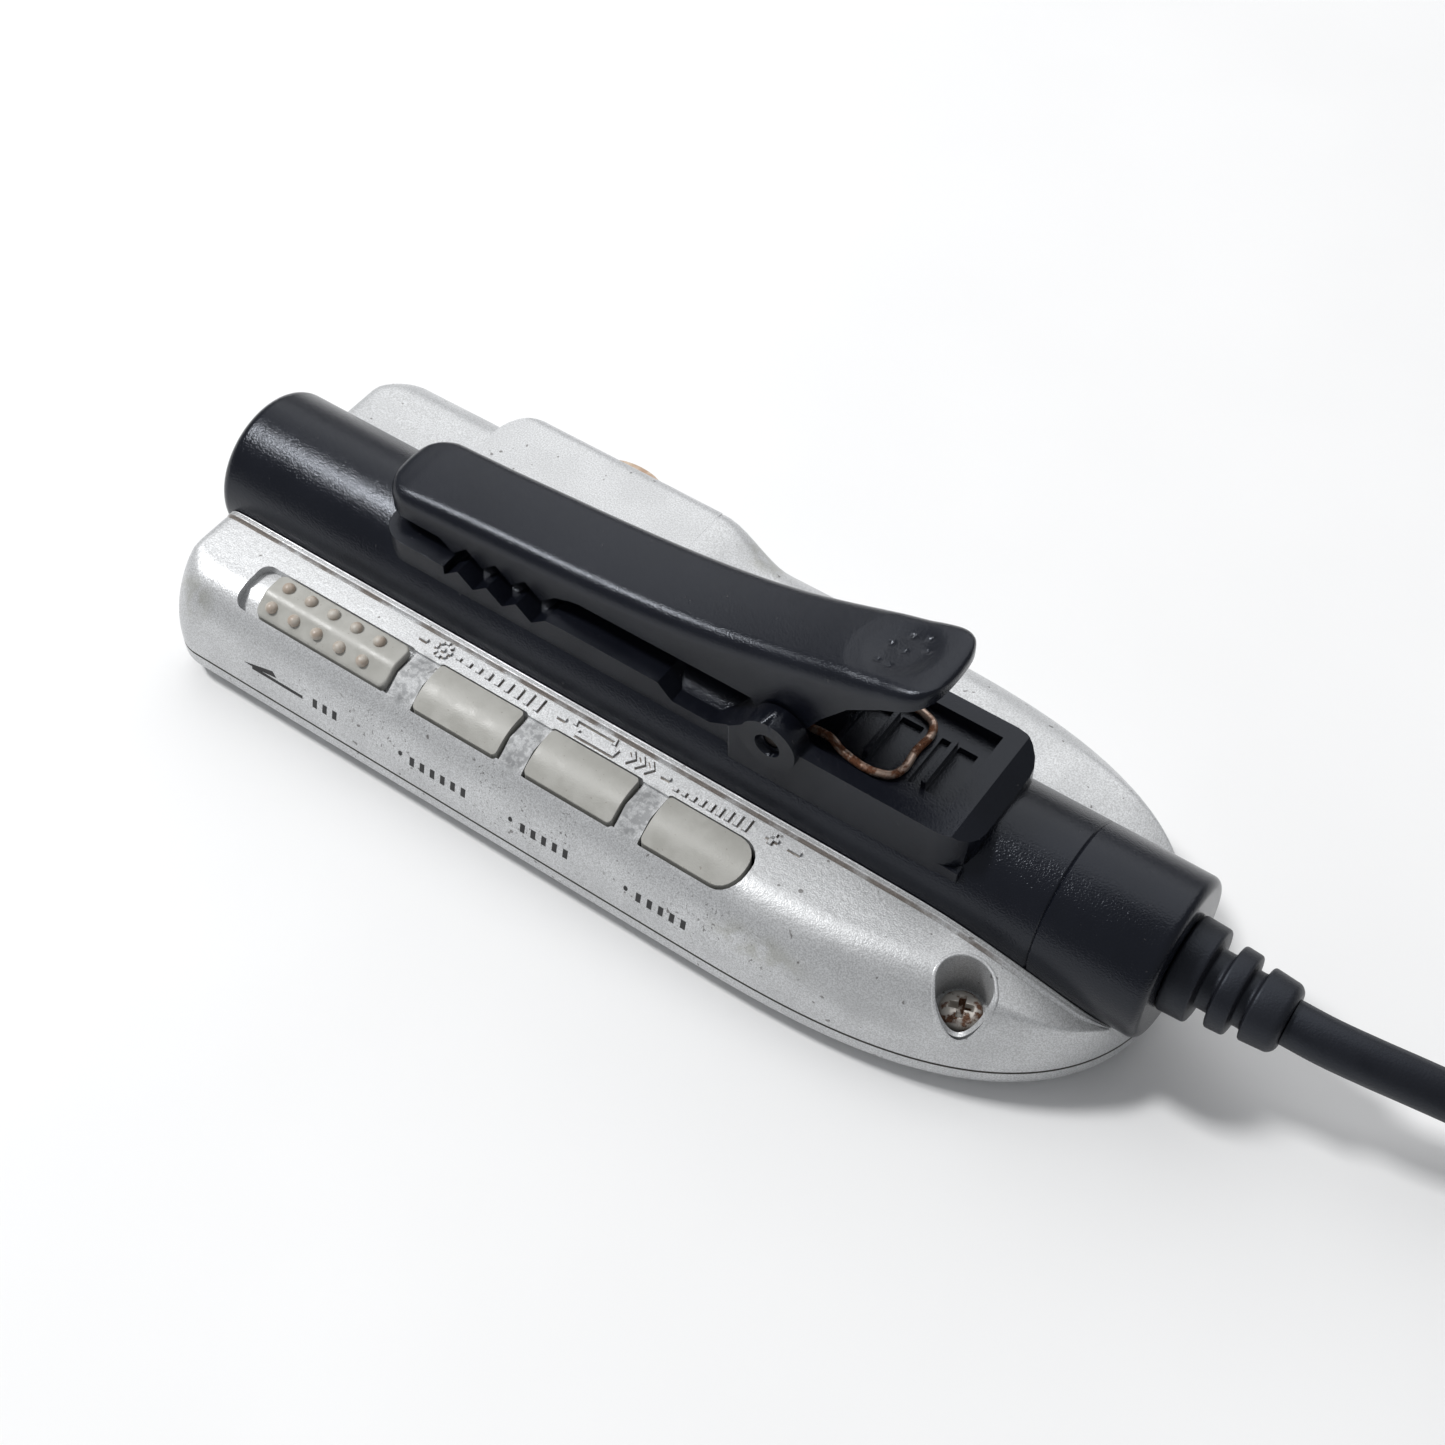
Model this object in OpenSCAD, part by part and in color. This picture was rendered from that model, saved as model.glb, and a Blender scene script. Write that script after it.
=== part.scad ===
// In-line wired remote control for a portable audio player, with a spring clip for clothing.
// It lies on its display face. +X runs along the barrel towards the cord, +Z is up and the origin is on
// the resting surface, under the middle of the control without its cord.
// Unless a comment says otherwise, heights are measured from the barrel's axis.

/* [Casing] */
// Height of the barrel's axis above the resting surface
axis_h = 9.4; // [9.4:0.1:9.6]
// Length of the casing's straight part and nose together, without the barrel's overhang
casing_l = 78.1; // [77.5:0.1:78.5]
// Distance from the barrel's axis to the casing's near side, where the keys are
near_w = 14.7; // [14.6:0.1:14.9]
// Distance from the barrel's axis to the casing's far side, where the jog lever is
far_w = 15.2; // [15.1:0.1:15.4]
// Thickness of the casing's walls
wall = 1.2; // [1.1:0.05:1.3]
// Depth of the parting line below the barrel's axis
parting = 6.5; // [6.5:0.05:6.6]

/* [Barrel] */
// Length of the barrel with its end cap
barrel_l = 79.6; // [79:0.1:80]
// Diameter of the barrel
barrel_d = 12; // [11.9:0.05:12]
// Wall of the barrel
barrel_wall = 1.2; // [1:0.1:1.3]
// Length of the cap on the cord's end
cap_l = 8.2; // [8:0.1:8.6]
// Diameter of the headphone socket's bore
jack_bore_d = 3.6; // [3.5:0.05:3.7]
// Depth of the headphone socket's bore
jack_depth = 14; // [13.5:0.5:14.5]

/* [Keys] */
// Distance from one key to the next
key_pitch = 10.16; // [10:0.02:10.3]
// Length of a key
key_l = 7.64; // [7.4:0.02:7.7]
// How far a key travels
key_travel = 0.4; // [0.3:0.05:0.4]
// How far the hold slider travels
hold_travel = 1.75; // [1.5:0.05:1.75]
// How far the jog lever presses in
jog_travel = 0.5; // [0.3:0.1:0.5]

/* [Clip] */
// Distance of the clip's hinge from the middle of the barrel
hinge_x = 10.7; // [10.5:0.1:10.8]
// Height of the clip's hinge above the barrel's axis
hinge_z = 7.2; // [7.2:0.05:7.25]
// Diameter of the clip's hinge pin
pin_d = 1.3; // [1.2:0.05:1.3]
// Distance from one clip tooth to the next
tooth_pitch = 2.65; // [2.6:0.01:2.65]

/* [Cord] */
// Diameter of the cord
cord_d = 3.3; // [3.2:0.1:3.3]
// Radius of the middle of the coil's turns
coil_r = 16.5; // [16.5:0.1:16.6]
// Turns in each of the coil's two layers
layer_turns = 4; // [4:1:4]

/* [Hidden] */

// Overlap that keeps a cut clear of the face it leaves
cut = 0.5;
// Gap round a key or a slider
key_gap = 0.12;

jog_reach = far_w + 1.5;
shift_y = (near_w - jog_reach) / 2;
casing_x0 = -38.8;
nose_x0 = 8.5;
corner_r = 3;
far_left_w = far_w - 0.8;

barrel_r = barrel_d / 2;
barrel_x0 = -barrel_l / 2;
barrel_x1 = barrel_l / 2;
seam_x = barrel_x1 - cap_l;
trough_r = barrel_r + 0.03;
trough_skin_r = barrel_r + 0.8;

key_x0 = -15.4;
key_near_y = -12.4;
key_far_y = -8.75;
key_ridge_y = -10.8;
key_mid_y = (key_near_y + key_far_y) / 2;
knob_l = 12.7;
knob_x0 = key_x0 - 2.6 - knob_l;
knob_mid = knob_x0 + knob_l / 2;

board_top = -parting;
board_t = 0.6;
screw_at = [29.1, -9.4];
screw_floor = -4.2;
board_screws_at = [[-33.5, 9.2], [20, 10]];

cover_x0 = -26.5;
cover_x1 = -7;
cover_y0 = 6.9;
cover_z0 = -3.6;
cover_top = 1.6;
cover_corner_r = 4;
jog_x = -16.4;
jog_y = 11.5;

window_x = 20.5;
window_y = 7.7;
window_t = 0.7;

relief_l = 7.9;
clip_top = 7.4;
lever_w = 7;
spring_wire = 0.3;
spring_turn_r = pin_d / 2 + spring_wire + 0.03;
spring_seat_z = 6.5 + spring_wire + 0.03;

// The clip lever's left end, and its back and underside seen from its near side
lever_x0 = -24.8;
lever_top = [
    [lever_x0, 8.3], [lever_x0 + 0.6, 9], [-13.5, 9.9], [-8.5, 10.3], [-4.5, 10.7], [-0.5, 11.2], [3.5, 11.9],
    [6.5, 12.6], [10, 13.6], [14, 15], [16.5, 15.9], [18.5, 16.6], [20.9, 17.2], [21.4, 16.7]
];
lever_under = concat(
    [[21.2, 16.1], [18, 14.4], [15.5, 12.6], [13.6, 10.2], [12.3, 8]],
    arc([hinge_x, hinge_z], 1.5, 1.5, 20, -200, 12),
    [[8.6, 8.2], [-6.9, 8]],
    backwards(teeth(-18, 4, 6.1, 7.3)),
    [[-19.2, 7], [lever_x0, 7]]
);

coil_at = [97, -8.6];
tie_t = 0.5;
coil_z = tie_t;
coil_in = coil_r - cord_d * (layer_turns / 2 + 0.5) - 0.1;
coil_out = coil_r + cord_d * (layer_turns / 2 + 0.5) + 0.1;
coil_h = 2 * cord_d;
relief_end = [barrel_x1 + relief_l, shift_y, axis_h];
plug_r = 3.75;

// The cord's way from the strain relief to the coil, and from the coil to the plug, in the part's own
// frame: it droops from the relief and comes down on the table into the coil's lowest turn. The other end
// climbs from the coil's top turn to the plug, which lies across the coil.
lead_route = [
    relief_end, [50.2, -0.9, 9.3], [53, -0.4, 8.9], [56, 0.4, 8.2], [59, 1.3, 7.3], [62, 2.1, 6.4],
    [65.3, 2.6, 5.4], [68.5, 2.3, 4.5], [71.2, 0.8, 3.6], [72.8, -1.8, 2.9], [73.4, -5, 2.35],
    [73.7, -8.7, 2.15], [74.2, -12.4, 2.15]
];
tail_route = [
    [91, -30.9, 5.45], [94.6, -31.6, 5.6], [98.2, -31.7, 6.3], [101.8, -31.2, 7.2], [105.2, -30, 8.1],
    [108.2, -28.1, 9.1], [110.3, -25.2, 10.2], [111, -21.8, 10.9]
];
plug_at = tail_route[len(tail_route) - 1];

$fn = 48;

// ---------------------------------------------------------------- shapes used by several sub-parts

module in_frame() {
    translate([0, shift_y, axis_h]) children();
}

// A solid turned about the barrel's axis: the profile's first value is the radius, its second is X.
module along_x() {
    rotate([0, 90, 0]) rotate_extrude() children();
}

// A cylinder along Y from y0 to y1, at x, z.
module across(x, y0, y1, z, r) {
    translate([x, y0, z]) rotate([-90, 0, 0]) cylinder(r = r, h = y1 - y0);
}

// A section drawn as [y, z] and run along X.
module section_x(x0, x1, points) {
    translate([x0, 0, 0]) rotate([90, 0, 90]) linear_extrude(height = x1 - x0) polygon(points);
}

// An outline drawn as [x, z] and run across from y0 to y1.
module section_y(y0, y1, points) {
    translate([0, y1, 0]) rotate([90, 0, 0]) linear_extrude(height = y1 - y0) polygon(points);
}

// An outline drawn as [x, y] and run from z0 up to z1.
module plate(z0, z1, points) {
    translate([0, 0, z0]) linear_extrude(height = z1 - z0) polygon(points);
}

module block(low, high) {
    translate(low) cube(high - low);
}

// A tube swept along points: each ring of n corners stands square to the way through its point, and is
// carried from one point to the next without a twist.
function way(p, i) = let (a = p[max(i - 1, 0)], b = p[min(i + 1, len(p) - 1)]) (b - a) / norm(b - a);
function carried(p, i, u) =
    let (w = way(p, i), s = u - (u * w) * w, v = s / norm(s))
    i == len(p) - 1 ? [v] : concat([v], carried(p, i + 1, v));
module tube(points, r, n) {
    sides = carried(points, 0, cross([0, 0, 1], way(points, 0)));
    rings = [
        for (i = [0:len(points) - 1], k = [0:n - 1])
            points[i] + r * (cos(360 * k / n) * sides[i] + sin(360 * k / n) * cross(way(points, i), sides[i]))
    ];
    last = (len(points) - 1) * n;
    skin = [
        for (i = [0:len(points) - 2], k = [0:n - 1])
            let (a = i * n + k, b = i * n + (k + 1) % n)
            each [[b + n, b, a], [b + n, a, a + n]]
    ];
    polyhedron(rings, concat(skin, [[for (k = [0:n - 1]) k], [for (k = [n - 1:-1:0]) last + k]]));
}

function arc(c, rx, ry, a0, a1, n) =
    [for (i = [0:n]) let (a = a0 + (a1 - a0) * i / n) [c[0] + rx * cos(a), c[1] + ry * sin(a)]];

// A rectangle with its left and right pairs of corners rounded by ra and rb.
function rounded(x0, x1, y0, y1, ra, rb) = concat(
    arc([x0 + ra, y0 + ra], ra, ra, 180, 270, 5),
    arc([x1 - rb, y0 + rb], rb, rb, 270, 360, 5),
    arc([x1 - rb, y1 - rb], rb, rb, 0, 90, 5),
    arc([x0 + ra, y1 - ra], ra, ra, 90, 180, 5)
);

// One side of the blunt pointed nose, from its root to its tip, drawn in by d.
function nose(w, d) = [
    for (a = [0:7.5:90])
        [nose_x0 + (casing_x0 + casing_l - nose_x0 - d) * pow(sin(a), 2 / 3), w * pow(cos(a), 0.96)]
];

function backwards(p) = [for (i = [len(p) - 1:-1:0]) p[i]];

// The casing's outline seen from above, drawn in by d.
function casing_outline(d) = concat(
    arc([casing_x0 + corner_r, corner_r - near_w], corner_r - d, corner_r - d, 180, 270, 6),
    nose(d - near_w, d),
    backwards(nose(far_w - d, d)),
    arc([casing_x0 + corner_r, far_left_w - corner_r], corner_r - d, corner_r - d, 90, 180, 6)
);

// The rear half's cross-section and its side view, drawn in by d and run down to z0.
function rear_section(d, z0) = concat(
    [[d - near_w, z0]],
    arc([-10.2, -6], near_w - 10.2 - d, 6.2 - d, 180, 90, 8),
    [[-barrel_r, 0.6 - d], [barrel_r, 0.6 - d]],
    arc([far_w - 4, -4.4], 4 - d, 4.7 - d, 90, 0, 8),
    [[far_w - d, z0]]
);
function rear_side(d, z0) = concat(
    [[casing_x0 + d, z0]],
    arc([casing_x0 + 1.6, -0.9], 1.6 - d, 1.6 - d, 180, 90, 4),
    arc([19.5, -parting], casing_x0 + casing_l - 19.5 - d, 7.2 - d, 90, 0, 10),
    [[casing_x0 + casing_l - d, z0]]
);
module rear_volume(d, z0) {
    intersection() {
        plate(z0, 2, casing_outline(d));
        section_x(-41, 41, rear_section(d, z0));
        section_y(-20, 20, rear_side(d, z0));
    }
}

// The front half's, run up to z1.
function front_section(d, z1) = concat(
    [[far_w - d, z1]],
    arc([far_w - 3, -7.3], 3 - d, axis_h - 7.3 - d, 0, -90, 6),
    arc([3 - near_w, -7.3], 3 - d, axis_h - 7.3 - d, -90, -180, 6),
    [[d - near_w, z1]]
);
function front_side(d, z1) = concat(
    [[casing_x0 + casing_l - d, z1]],
    arc([31, -7.3], casing_x0 + casing_l - 31 - d, axis_h - 7.3 - d, 0, -90, 8),
    arc([casing_x0 + 2.5, -7.3], 2.5 - d, axis_h - 7.3 - d, -90, -180, 5),
    [[casing_x0 + d, z1]]
);
module front_volume(d, z1) {
    intersection() {
        plate(-axis_h - 1, z1, casing_outline(d));
        section_x(-41, 41, front_section(d, z1));
        section_y(-20, 20, front_side(d, z1));
    }
}

// The plan of a key or its opening, grown by g.
function key_plan(x0, l, r_right, g) =
    rounded(x0 - g, x0 + l + g, key_near_y - g, key_far_y + g, 0.35, r_right);

// A top surface that follows the casing's shoulder: nearly level, then falling beyond the ridge.
function shoulder(rise, z0) = [
    [-7.5, z0], [-7.5, 0.2 + rise], [key_far_y, 0.2 + rise], [key_ridge_y, 0.16 + rise],
    [key_near_y, rise - 0.98], [-13.2, rise - 1.6], [-13.2, z0]
];

// ---------------------------------------------------------------- casing

module screw_posts() {
    translate([screw_at[0], screw_at[1], -parting]) cylinder(r = 2.75, h = 8);
    for (p = board_screws_at)
        translate([p[0], p[1], -parting]) cylinder(r = 1.6, h = 8);
}

module key_openings() {
    for (i = [0:2])
        plate(-4, 2, key_plan(key_x0 + i * key_pitch, key_l, i == 2 ? 1.8 : 0.35, key_gap));
    intersection() {
        plate(-3, 2, rounded(knob_x0 - hold_travel - 0.15, knob_x0 + knob_l + 0.15,
            key_near_y - 0.1, key_far_y + 0.15, 0.9, 0.4));
        section_x(-40, 0, concat(
            [[-7.5, 3]], [for (p = shoulder(-0.55, -3)) if (p[1] > -3) p], [[-13.2, 3]]
        ));
    }
    block([knob_mid - 2.15 - hold_travel, key_ridge_y - 0.65, -3], [knob_mid + 2.15, key_ridge_y + 1.05, 1]);
}

module rear_shell() {
    color("silver") in_frame() difference() {
        union() {
            rear_volume(0, -parting);
            // The ramp beside the jog cover
            intersection() {
                section_y(cover_y0, 14.6, [[cover_x1, 0], [cover_x1, cover_top], [-2, 0.2], [-2, 0]]);
                section_x(-8, -1, rear_section(-cover_top, 0));
            }
        }
        difference() {
            rear_volume(wall, -parting - cut);
            along_x() translate([0, -45]) square([trough_skin_r, 90]);
            screw_posts();
        }
        along_x() translate([0, -45]) square([trough_r, 90]);
        key_openings();
        plate(cover_z0, 3, cover_plan(0));
        block([cover_x0 + cover_corner_r, cover_y0, cover_z0], [cover_x1, 20, 3]);
        translate([screw_at[0], screw_at[1], screw_floor]) cylinder(r = 1.95, h = 8);
        translate([screw_at[0], screw_at[1], -parting - cut]) cylinder(r = 0.95, h = 8);
        for (p = board_screws_at)
            translate([p[0], p[1], -parting - cut]) cylinder(r = 0.5, h = 3.8);
    }
}

module front_shell() {
    color("silver") in_frame() difference() {
        union() {
            difference() {
                front_volume(0, -parting);
                front_volume(wall, -parting + cut);
            }
            // Locating lip inside the parting line
            difference() {
                plate(-parting - 1, -parting + 0.6, casing_outline(wall + 0.1));
                plate(-parting - 2, -parting + 2, casing_outline(wall + 0.6));
                along_x() translate([0, -45]) square([trough_skin_r + 0.2, 90]);
                translate([screw_at[0], screw_at[1], -8]) cylinder(r = 2.95, h = 8);
            }
            translate([screw_at[0], screw_at[1], -9]) cylinder(r = 1.8, h = 9 - parting);
        }
        plate(-axis_h - cut, -axis_h + window_t, rounded(-window_x, window_x, -window_y, window_y, 2, 2));
        plate(-axis_h - cut, -7, rounded(
            wall - window_x, window_x - wall, wall - window_y, window_y - wall, 1, 1
        ));
        translate([screw_at[0], screw_at[1], -8.6]) cylinder(r = 0.75, h = 4);
    }
}

function cover_plan(d) = concat(
    [[cover_x1 - d, cover_y0 + d]],
    arc([cover_x1 - 1, far_w - 1.1], 1 - min(d, 0.9), 1 - min(d, 0.9), 0, 90, 4),
    arc([cover_x0 + cover_corner_r, far_w - 0.1 - cover_corner_r], cover_corner_r - d, cover_corner_r - d,
        90, 180, 8),
    [[cover_x0 + d, cover_y0 + d]]
);
function cover_section(d) = concat(
    [[cover_y0 - 1, cover_z0], [cover_y0 - 1, cover_top - d]],
    arc([far_w - 1.7, cover_top - 1.6], 1.6 - d, 1.6 - d, 90, 0, 6),
    [[far_w - 0.1 - d, cover_z0]]
);
module jog_cover() {
    color("silver") in_frame() difference() {
        intersection() {
            plate(cover_z0, 2, cover_plan(0));
            section_x(-30, 0, cover_section(0));
        }
        intersection() {
            plate(cover_z0 - cut, 2, cover_plan(1));
            section_x(-30, 0, concat(
                [[cover_y0 - 1, cover_z0 - 1]], cover_section(1), [[far_w - 1.1, cover_z0 - 1]]
            ));
        }
        block([jog_x - 3.6, 13, cover_z0 - cut], [jog_x + 3.6, 17, -0.5]);
    }
}

module display_window() {
    color("darkslategray") in_frame()
        plate(-axis_h, -axis_h + window_t, rounded(0.05 - window_x, window_x - 0.05, 0.05 - window_y,
            window_y - 0.05, 2, 2));
}

module lcd_panel() {
    color("darkseagreen") in_frame() block([-18.6, -6, -8.6], [18.6, 6, -7.7]);
}

module light_guide() {
    color("white") in_frame() block([-18.6, -6, -7.65], [18.6, 6, -7.2]);
}

module circuit_board() {
    color("darkgreen") in_frame() difference() {
        plate(board_top - board_t, board_top, casing_outline(wall + 0.7));
        translate([screw_at[0], screw_at[1], -9]) cylinder(r = 2.1, h = 4);
        for (p = board_screws_at)
            translate([p[0], p[1], -9]) cylinder(r = 0.7, h = 4);
    }
}

// ---------------------------------------------------------------- screws

module pan_screw(head_r, head_h, shaft_r, shaft_l) {
    difference() {
        union() {
            cylinder(r = head_r, h = head_h);
            translate([0, 0, -shaft_l]) cylinder(r = shaft_r, h = shaft_l);
        }
        for (a = [0, 90])
            rotate([0, 0, a]) translate([-head_r * 0.6, -head_r * 0.13, head_h * 0.45])
                cube([head_r * 1.2, head_r * 0.26, head_h]);
    }
}

module case_screw() {
    color("peru") in_frame() translate([screw_at[0], screw_at[1], screw_floor])
        pan_screw(1.5, 1.1, 0.85, 4.1);
}

module board_screws() {
    color("lightgray") in_frame() for (p = board_screws_at)
        translate([p[0], p[1], board_top - board_t]) rotate([180, 0, 0]) pan_screw(1.2, 0.6, 0.6, 3.4);
}

// ---------------------------------------------------------------- keys and switches

module key(i, r_right) {
    x0 = key_x0 + i * key_pitch;
    color("darkgray") in_frame() {
        intersection() {
            plate(-2.6, 2, key_plan(x0, key_l, r_right, 0));
            section_x(-40, 40, shoulder(0.42, -2.6));
        }
        block([x0 - 0.5, key_near_y + 0.3, -3.1], [x0 + key_l + 0.5, key_far_y - 0.3, -2.6]);
        translate([x0 + key_l / 2, key_mid_y, -4.85 + key_travel]) cylinder(r = 0.9, h = 1.8);
    }
}
module display_key() key(0, 0.35);
module mode_key() key(1, 0.35);
module sound_key() key(2, 1.7);

module key_switches() {
    color("dimgray") in_frame() for (i = [0:2]) {
        x = key_x0 + i * key_pitch + key_l / 2;
        block([x - 2.2, key_mid_y - 1.7, board_top], [x + 2.2, key_mid_y + 1.7, -5.2]);
        translate([x, key_mid_y, -5.2]) cylinder(r = 0.8, h = 0.3);
    }
}

module hold_slider() {
    color("darkgray") in_frame() {
        intersection() {
            plate(-3, 2, key_plan(knob_x0, knob_l, 0.6, -0.08));
            difference() {
                section_x(-40, 0, shoulder(0.5, -3));
                section_x(-40.5, 0.5, shoulder(-0.4, -4));
            }
        }
        block([knob_mid - 2, key_ridge_y - 0.5, -1.6], [knob_mid + 2, key_ridge_y + 0.9, 0]);
        for (i = [0:4]) {
            translate([knob_x0 + 1.5 + 2.2 * i, -9.75, 0.62]) sphere(r = 0.45, $fn = 20);
            translate([knob_x0 + 1.3 + 2.2 * i, -11.55, 0.18]) sphere(r = 0.45, $fn = 20);
        }
    }
}

module hold_wiper() {
    color("dimgray") in_frame() {
        block([knob_mid - 3.4, key_ridge_y - 0.5, -2.1], [knob_mid + 3.4, key_ridge_y + 1.8, -1.6]);
        block([knob_mid - 0.6, key_ridge_y - 0.4, -5.2], [knob_mid + 0.6, key_ridge_y + 0.4, -2.1]);
    }
}

module hold_switch() {
    color("lightgray") in_frame() difference() {
        block([knob_mid - 5, key_ridge_y - 1.6, board_top], [knob_mid + 4, key_ridge_y + 1.6, -4.2]);
        block(
            [knob_mid - 0.9 - hold_travel, key_ridge_y - 0.6, -5.4],
            [knob_mid + 0.9, key_ridge_y + 0.6, -4]
        );
    }
}

module jog_switch() {
    color("dimgray") in_frame() translate([jog_x, 0, 0]) difference() {
        block([-3.2, 8.8, board_top], [3.2, 12.7, -4]);
        block([-2, 8, -5.4], [2, 14, -3]);
    }
}

module jog_carrier() {
    color("lightgray") in_frame() translate([jog_x, 0, 0]) {
        block([-1.9, jog_y - 1.2, -5.35], [1.9, jog_y + 1.3, -4.1]);
        translate([0, jog_y, -4.1]) cylinder(r = 0.7, h = 3.1);
    }
}

module jog_lever() {
    color("burlywood") in_frame() translate([jog_x, 0, 0]) difference() {
        union() {
            translate([0, jog_y, -3.9]) cylinder(r = 1.7, h = 2.7);
            block([-1.1, jog_y, -3.2], [1.1, 15.5, -1.3]);
            plate(-3.4, -1, concat(
                [[2.4, far_w + 0.1]],
                arc([0, far_w + 0.6], 2.4, jog_reach - far_w - 0.6, 0, 180, 10),
                [[-2.4, far_w + 0.1]]
            ));
        }
        translate([0, jog_y, -5]) cylinder(r = 0.75, h = 5);
    }
}

// ---------------------------------------------------------------- barrel

module barrel() {
    color("darkslategray") in_frame() along_x() polygon(concat(
        [[3.05, barrel_x0], [barrel_r - 1, barrel_x0]],
        arc([barrel_r - 1, barrel_x0 + 1], 1, 1, -90, 0, 5),
        [[barrel_r, seam_x], [barrel_r - barrel_wall, seam_x], [barrel_r - barrel_wall, barrel_x0 + 1.6],
            [3.05, barrel_x0 + 1.6]]
    ));
}

module barrel_cap() {
    inner = barrel_r - barrel_wall - 0.05;
    color("darkslategray") in_frame() along_x() polygon(concat(
        [[inner - 0.9, seam_x - 3], [inner, seam_x - 3], [inner, seam_x], [barrel_r, seam_x]],
        arc([barrel_r - 0.6, barrel_x1 - 0.6], 0.6, 0.6, 0, 90, 4),
        [[2.55, barrel_x1], [2.55, barrel_x1 - 2.2], [inner - 0.9, barrel_x1 - 2.2]]
    ));
}

module headphone_jack() {
    nose_x = barrel_x0 + 0.3;
    seat_x = barrel_x0 + 1.6;
    back_x = nose_x + jack_depth + 1.5;
    color("dimgray") in_frame() along_x() polygon([
        [jack_bore_d / 2, nose_x], [3, nose_x], [3, seat_x], [4.1, seat_x], [4.1, back_x], [0, back_x],
        [0, back_x - 1.5], [jack_bore_d / 2, back_x - 1.5]
    ]);
}

module jack_contacts() {
    back_x = barrel_x0 + 1.8 + jack_depth;
    color("goldenrod") in_frame() for (a = [90, 210, 330])
        rotate([a, 0, 0]) block([back_x, -0.6, 2.4], [back_x + 2.4, 0.6, 2.7]);
}

// ---------------------------------------------------------------- clip

// Teeth along X from x0: n teeth between a low and a high level.
function teeth(x0, n, low, high) =
    [for (i = [0:n - 1]) each [[x0 + i * tooth_pitch, low], [x0 + i * tooth_pitch + tooth_pitch / 2, high]]];

module clip_base() {
    near = 5.2;
    color("darkslategray") in_frame() difference() {
        union() {
            // Toothed tongue
            section_y(-4.7, 4.7, concat(
                [[8, 2.6], [-25.2, 2.6], [-25, 3.8], [-24.2, 5], [-22.9, 5.8], [-19.2, 5.8]],
                teeth(-18, 4, 4.9, 6),
                [[-7.2, 6.1], [1, 6.1], [2.2, 4.9], [5.4, 4.9], [8, 6.4]]
            ));
            // Seat round the hinge and under the thumb pad
            intersection() {
                plate(2.6, clip_top, rounded(7, 26, -near, near, 0.4, 2.4));
                section_y(-6, 6, [
                    [7, 2.6], [7, 6.2], [8.4, clip_top], [24.6, clip_top], [26, 6.4], [26, 2.6]
                ]);
            }
            across(hinge_x, -5.6, -3.8, hinge_z, 2.2);
            across(hinge_x, 3.8, 5.6, hinge_z, 2.2);
        }
        along_x() translate([0, -45]) square([barrel_r, 90]);
        block([8.8, -3.8, 0], [13.7, 3.8, 12]);
        block([13.2, -3.9, 6.5], [23.2, 3.9, 12]);
        across(hinge_x, -7, 7, hinge_z, pin_d / 2);
        across(hinge_x, -7, -5.1, hinge_z, 1);
        across(hinge_x, 5.1, 7, hinge_z, 1);
    }
}

module clip_lever() {
    color("darkslategray") in_frame() difference() {
        intersection() {
            section_y(-5, 5, concat(lever_top, lever_under));
            plate(4, 19, concat(
                arc([lever_x0 + 2.5, -1], 2.5, lever_w / 2 - 1, 180, 270, 6),
                [[8, -lever_w / 2], [15, -lever_w / 2 - 0.2]],
                arc([17.6, 0], 3.8, lever_w / 2 + 0.2, -90, 90, 12),
                [[15, lever_w / 2 + 0.2], [8, lever_w / 2]],
                arc([lever_x0 + 2.5, 1], 2.5, lever_w / 2 - 1, 90, 180, 6)
            ));
        }
        // The channel between the lever's side walls
        section_y(-2.55, 2.55, concat(
            [[lever_x0 + 1.3, 4]],
            [for (p = lever_top) if (p[0] > lever_x0 && p[0] < 15) [max(p[0], lever_x0 + 1.3), p[1] - 1.4]],
            [[15.6, 14.1], [15.6, 4]]
        ));
        across(hinge_x, -5, 5, hinge_z, pin_d / 2 + 0.05);
    }
}

module clip_pin() {
    color("silver") in_frame() across(hinge_x, -5, 5, hinge_z, pin_d / 2);
}

// The spring's wire: from the middle of a bar under the thumb pad down one side, once and a third round the
// pin, and along the seat to the middle of a loop there. The other half mirrors it.
function spring_half(s) = concat(
    [[14.9, 0, 13.5], [14.9, s * 1, 13.5], [14.5, s * 1.5, 13]],
    [
        for (a = [144:40.5:630])
            [
                hinge_x + spring_turn_r * cos(a), s * (1.4 + 0.79 * (a - 144) / 486),
                hinge_z + spring_turn_r * sin(a)
            ]
    ],
    [
        for (q = [[13.5, 2.3], [15, 2.85], [18.2, 2.85], [18.85, 2.2], [18.85, 0]])
            [q[0], s * q[1], spring_seat_z]
    ]
);
module clip_spring() {
    half = spring_half(1);
    color("sienna") in_frame()
        tube(concat(spring_half(-1), [for (i = [len(half) - 2:-1:0]) half[i]]), spring_wire, 6);
}

// ---------------------------------------------------------------- cord and plug

module strain_relief() {
    color("darkslategray") in_frame() translate([barrel_x1, 0, 0]) along_x() polygon([
        [0, -3.6], [3.7, -3.6], [3.7, -2.2], [2.5, -2.2], [2.5, 0], [3.9, 0], [3.8, 2.1], [2.7, 2.2],
        [2.7, 3], [3.4, 3.1], [3.2, 5], [2.4, 5.1], [2.4, 5.8], [2.9, 5.9], [2.4, relief_l], [0, relief_l]
    ]);
}

module cord() {
    color("dimgray") tube(lead_route, cord_d / 2, 8);
}

module cord_tail() {
    color("dimgray") tube(tail_route, cord_d / 2, 8);
}

module cord_coil() {
    color("dimgray") translate([coil_at[0], coil_at[1], coil_z]) rotate_extrude()
        translate([coil_in, 0]) square([coil_out - coil_in, coil_h]);
}

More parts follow.
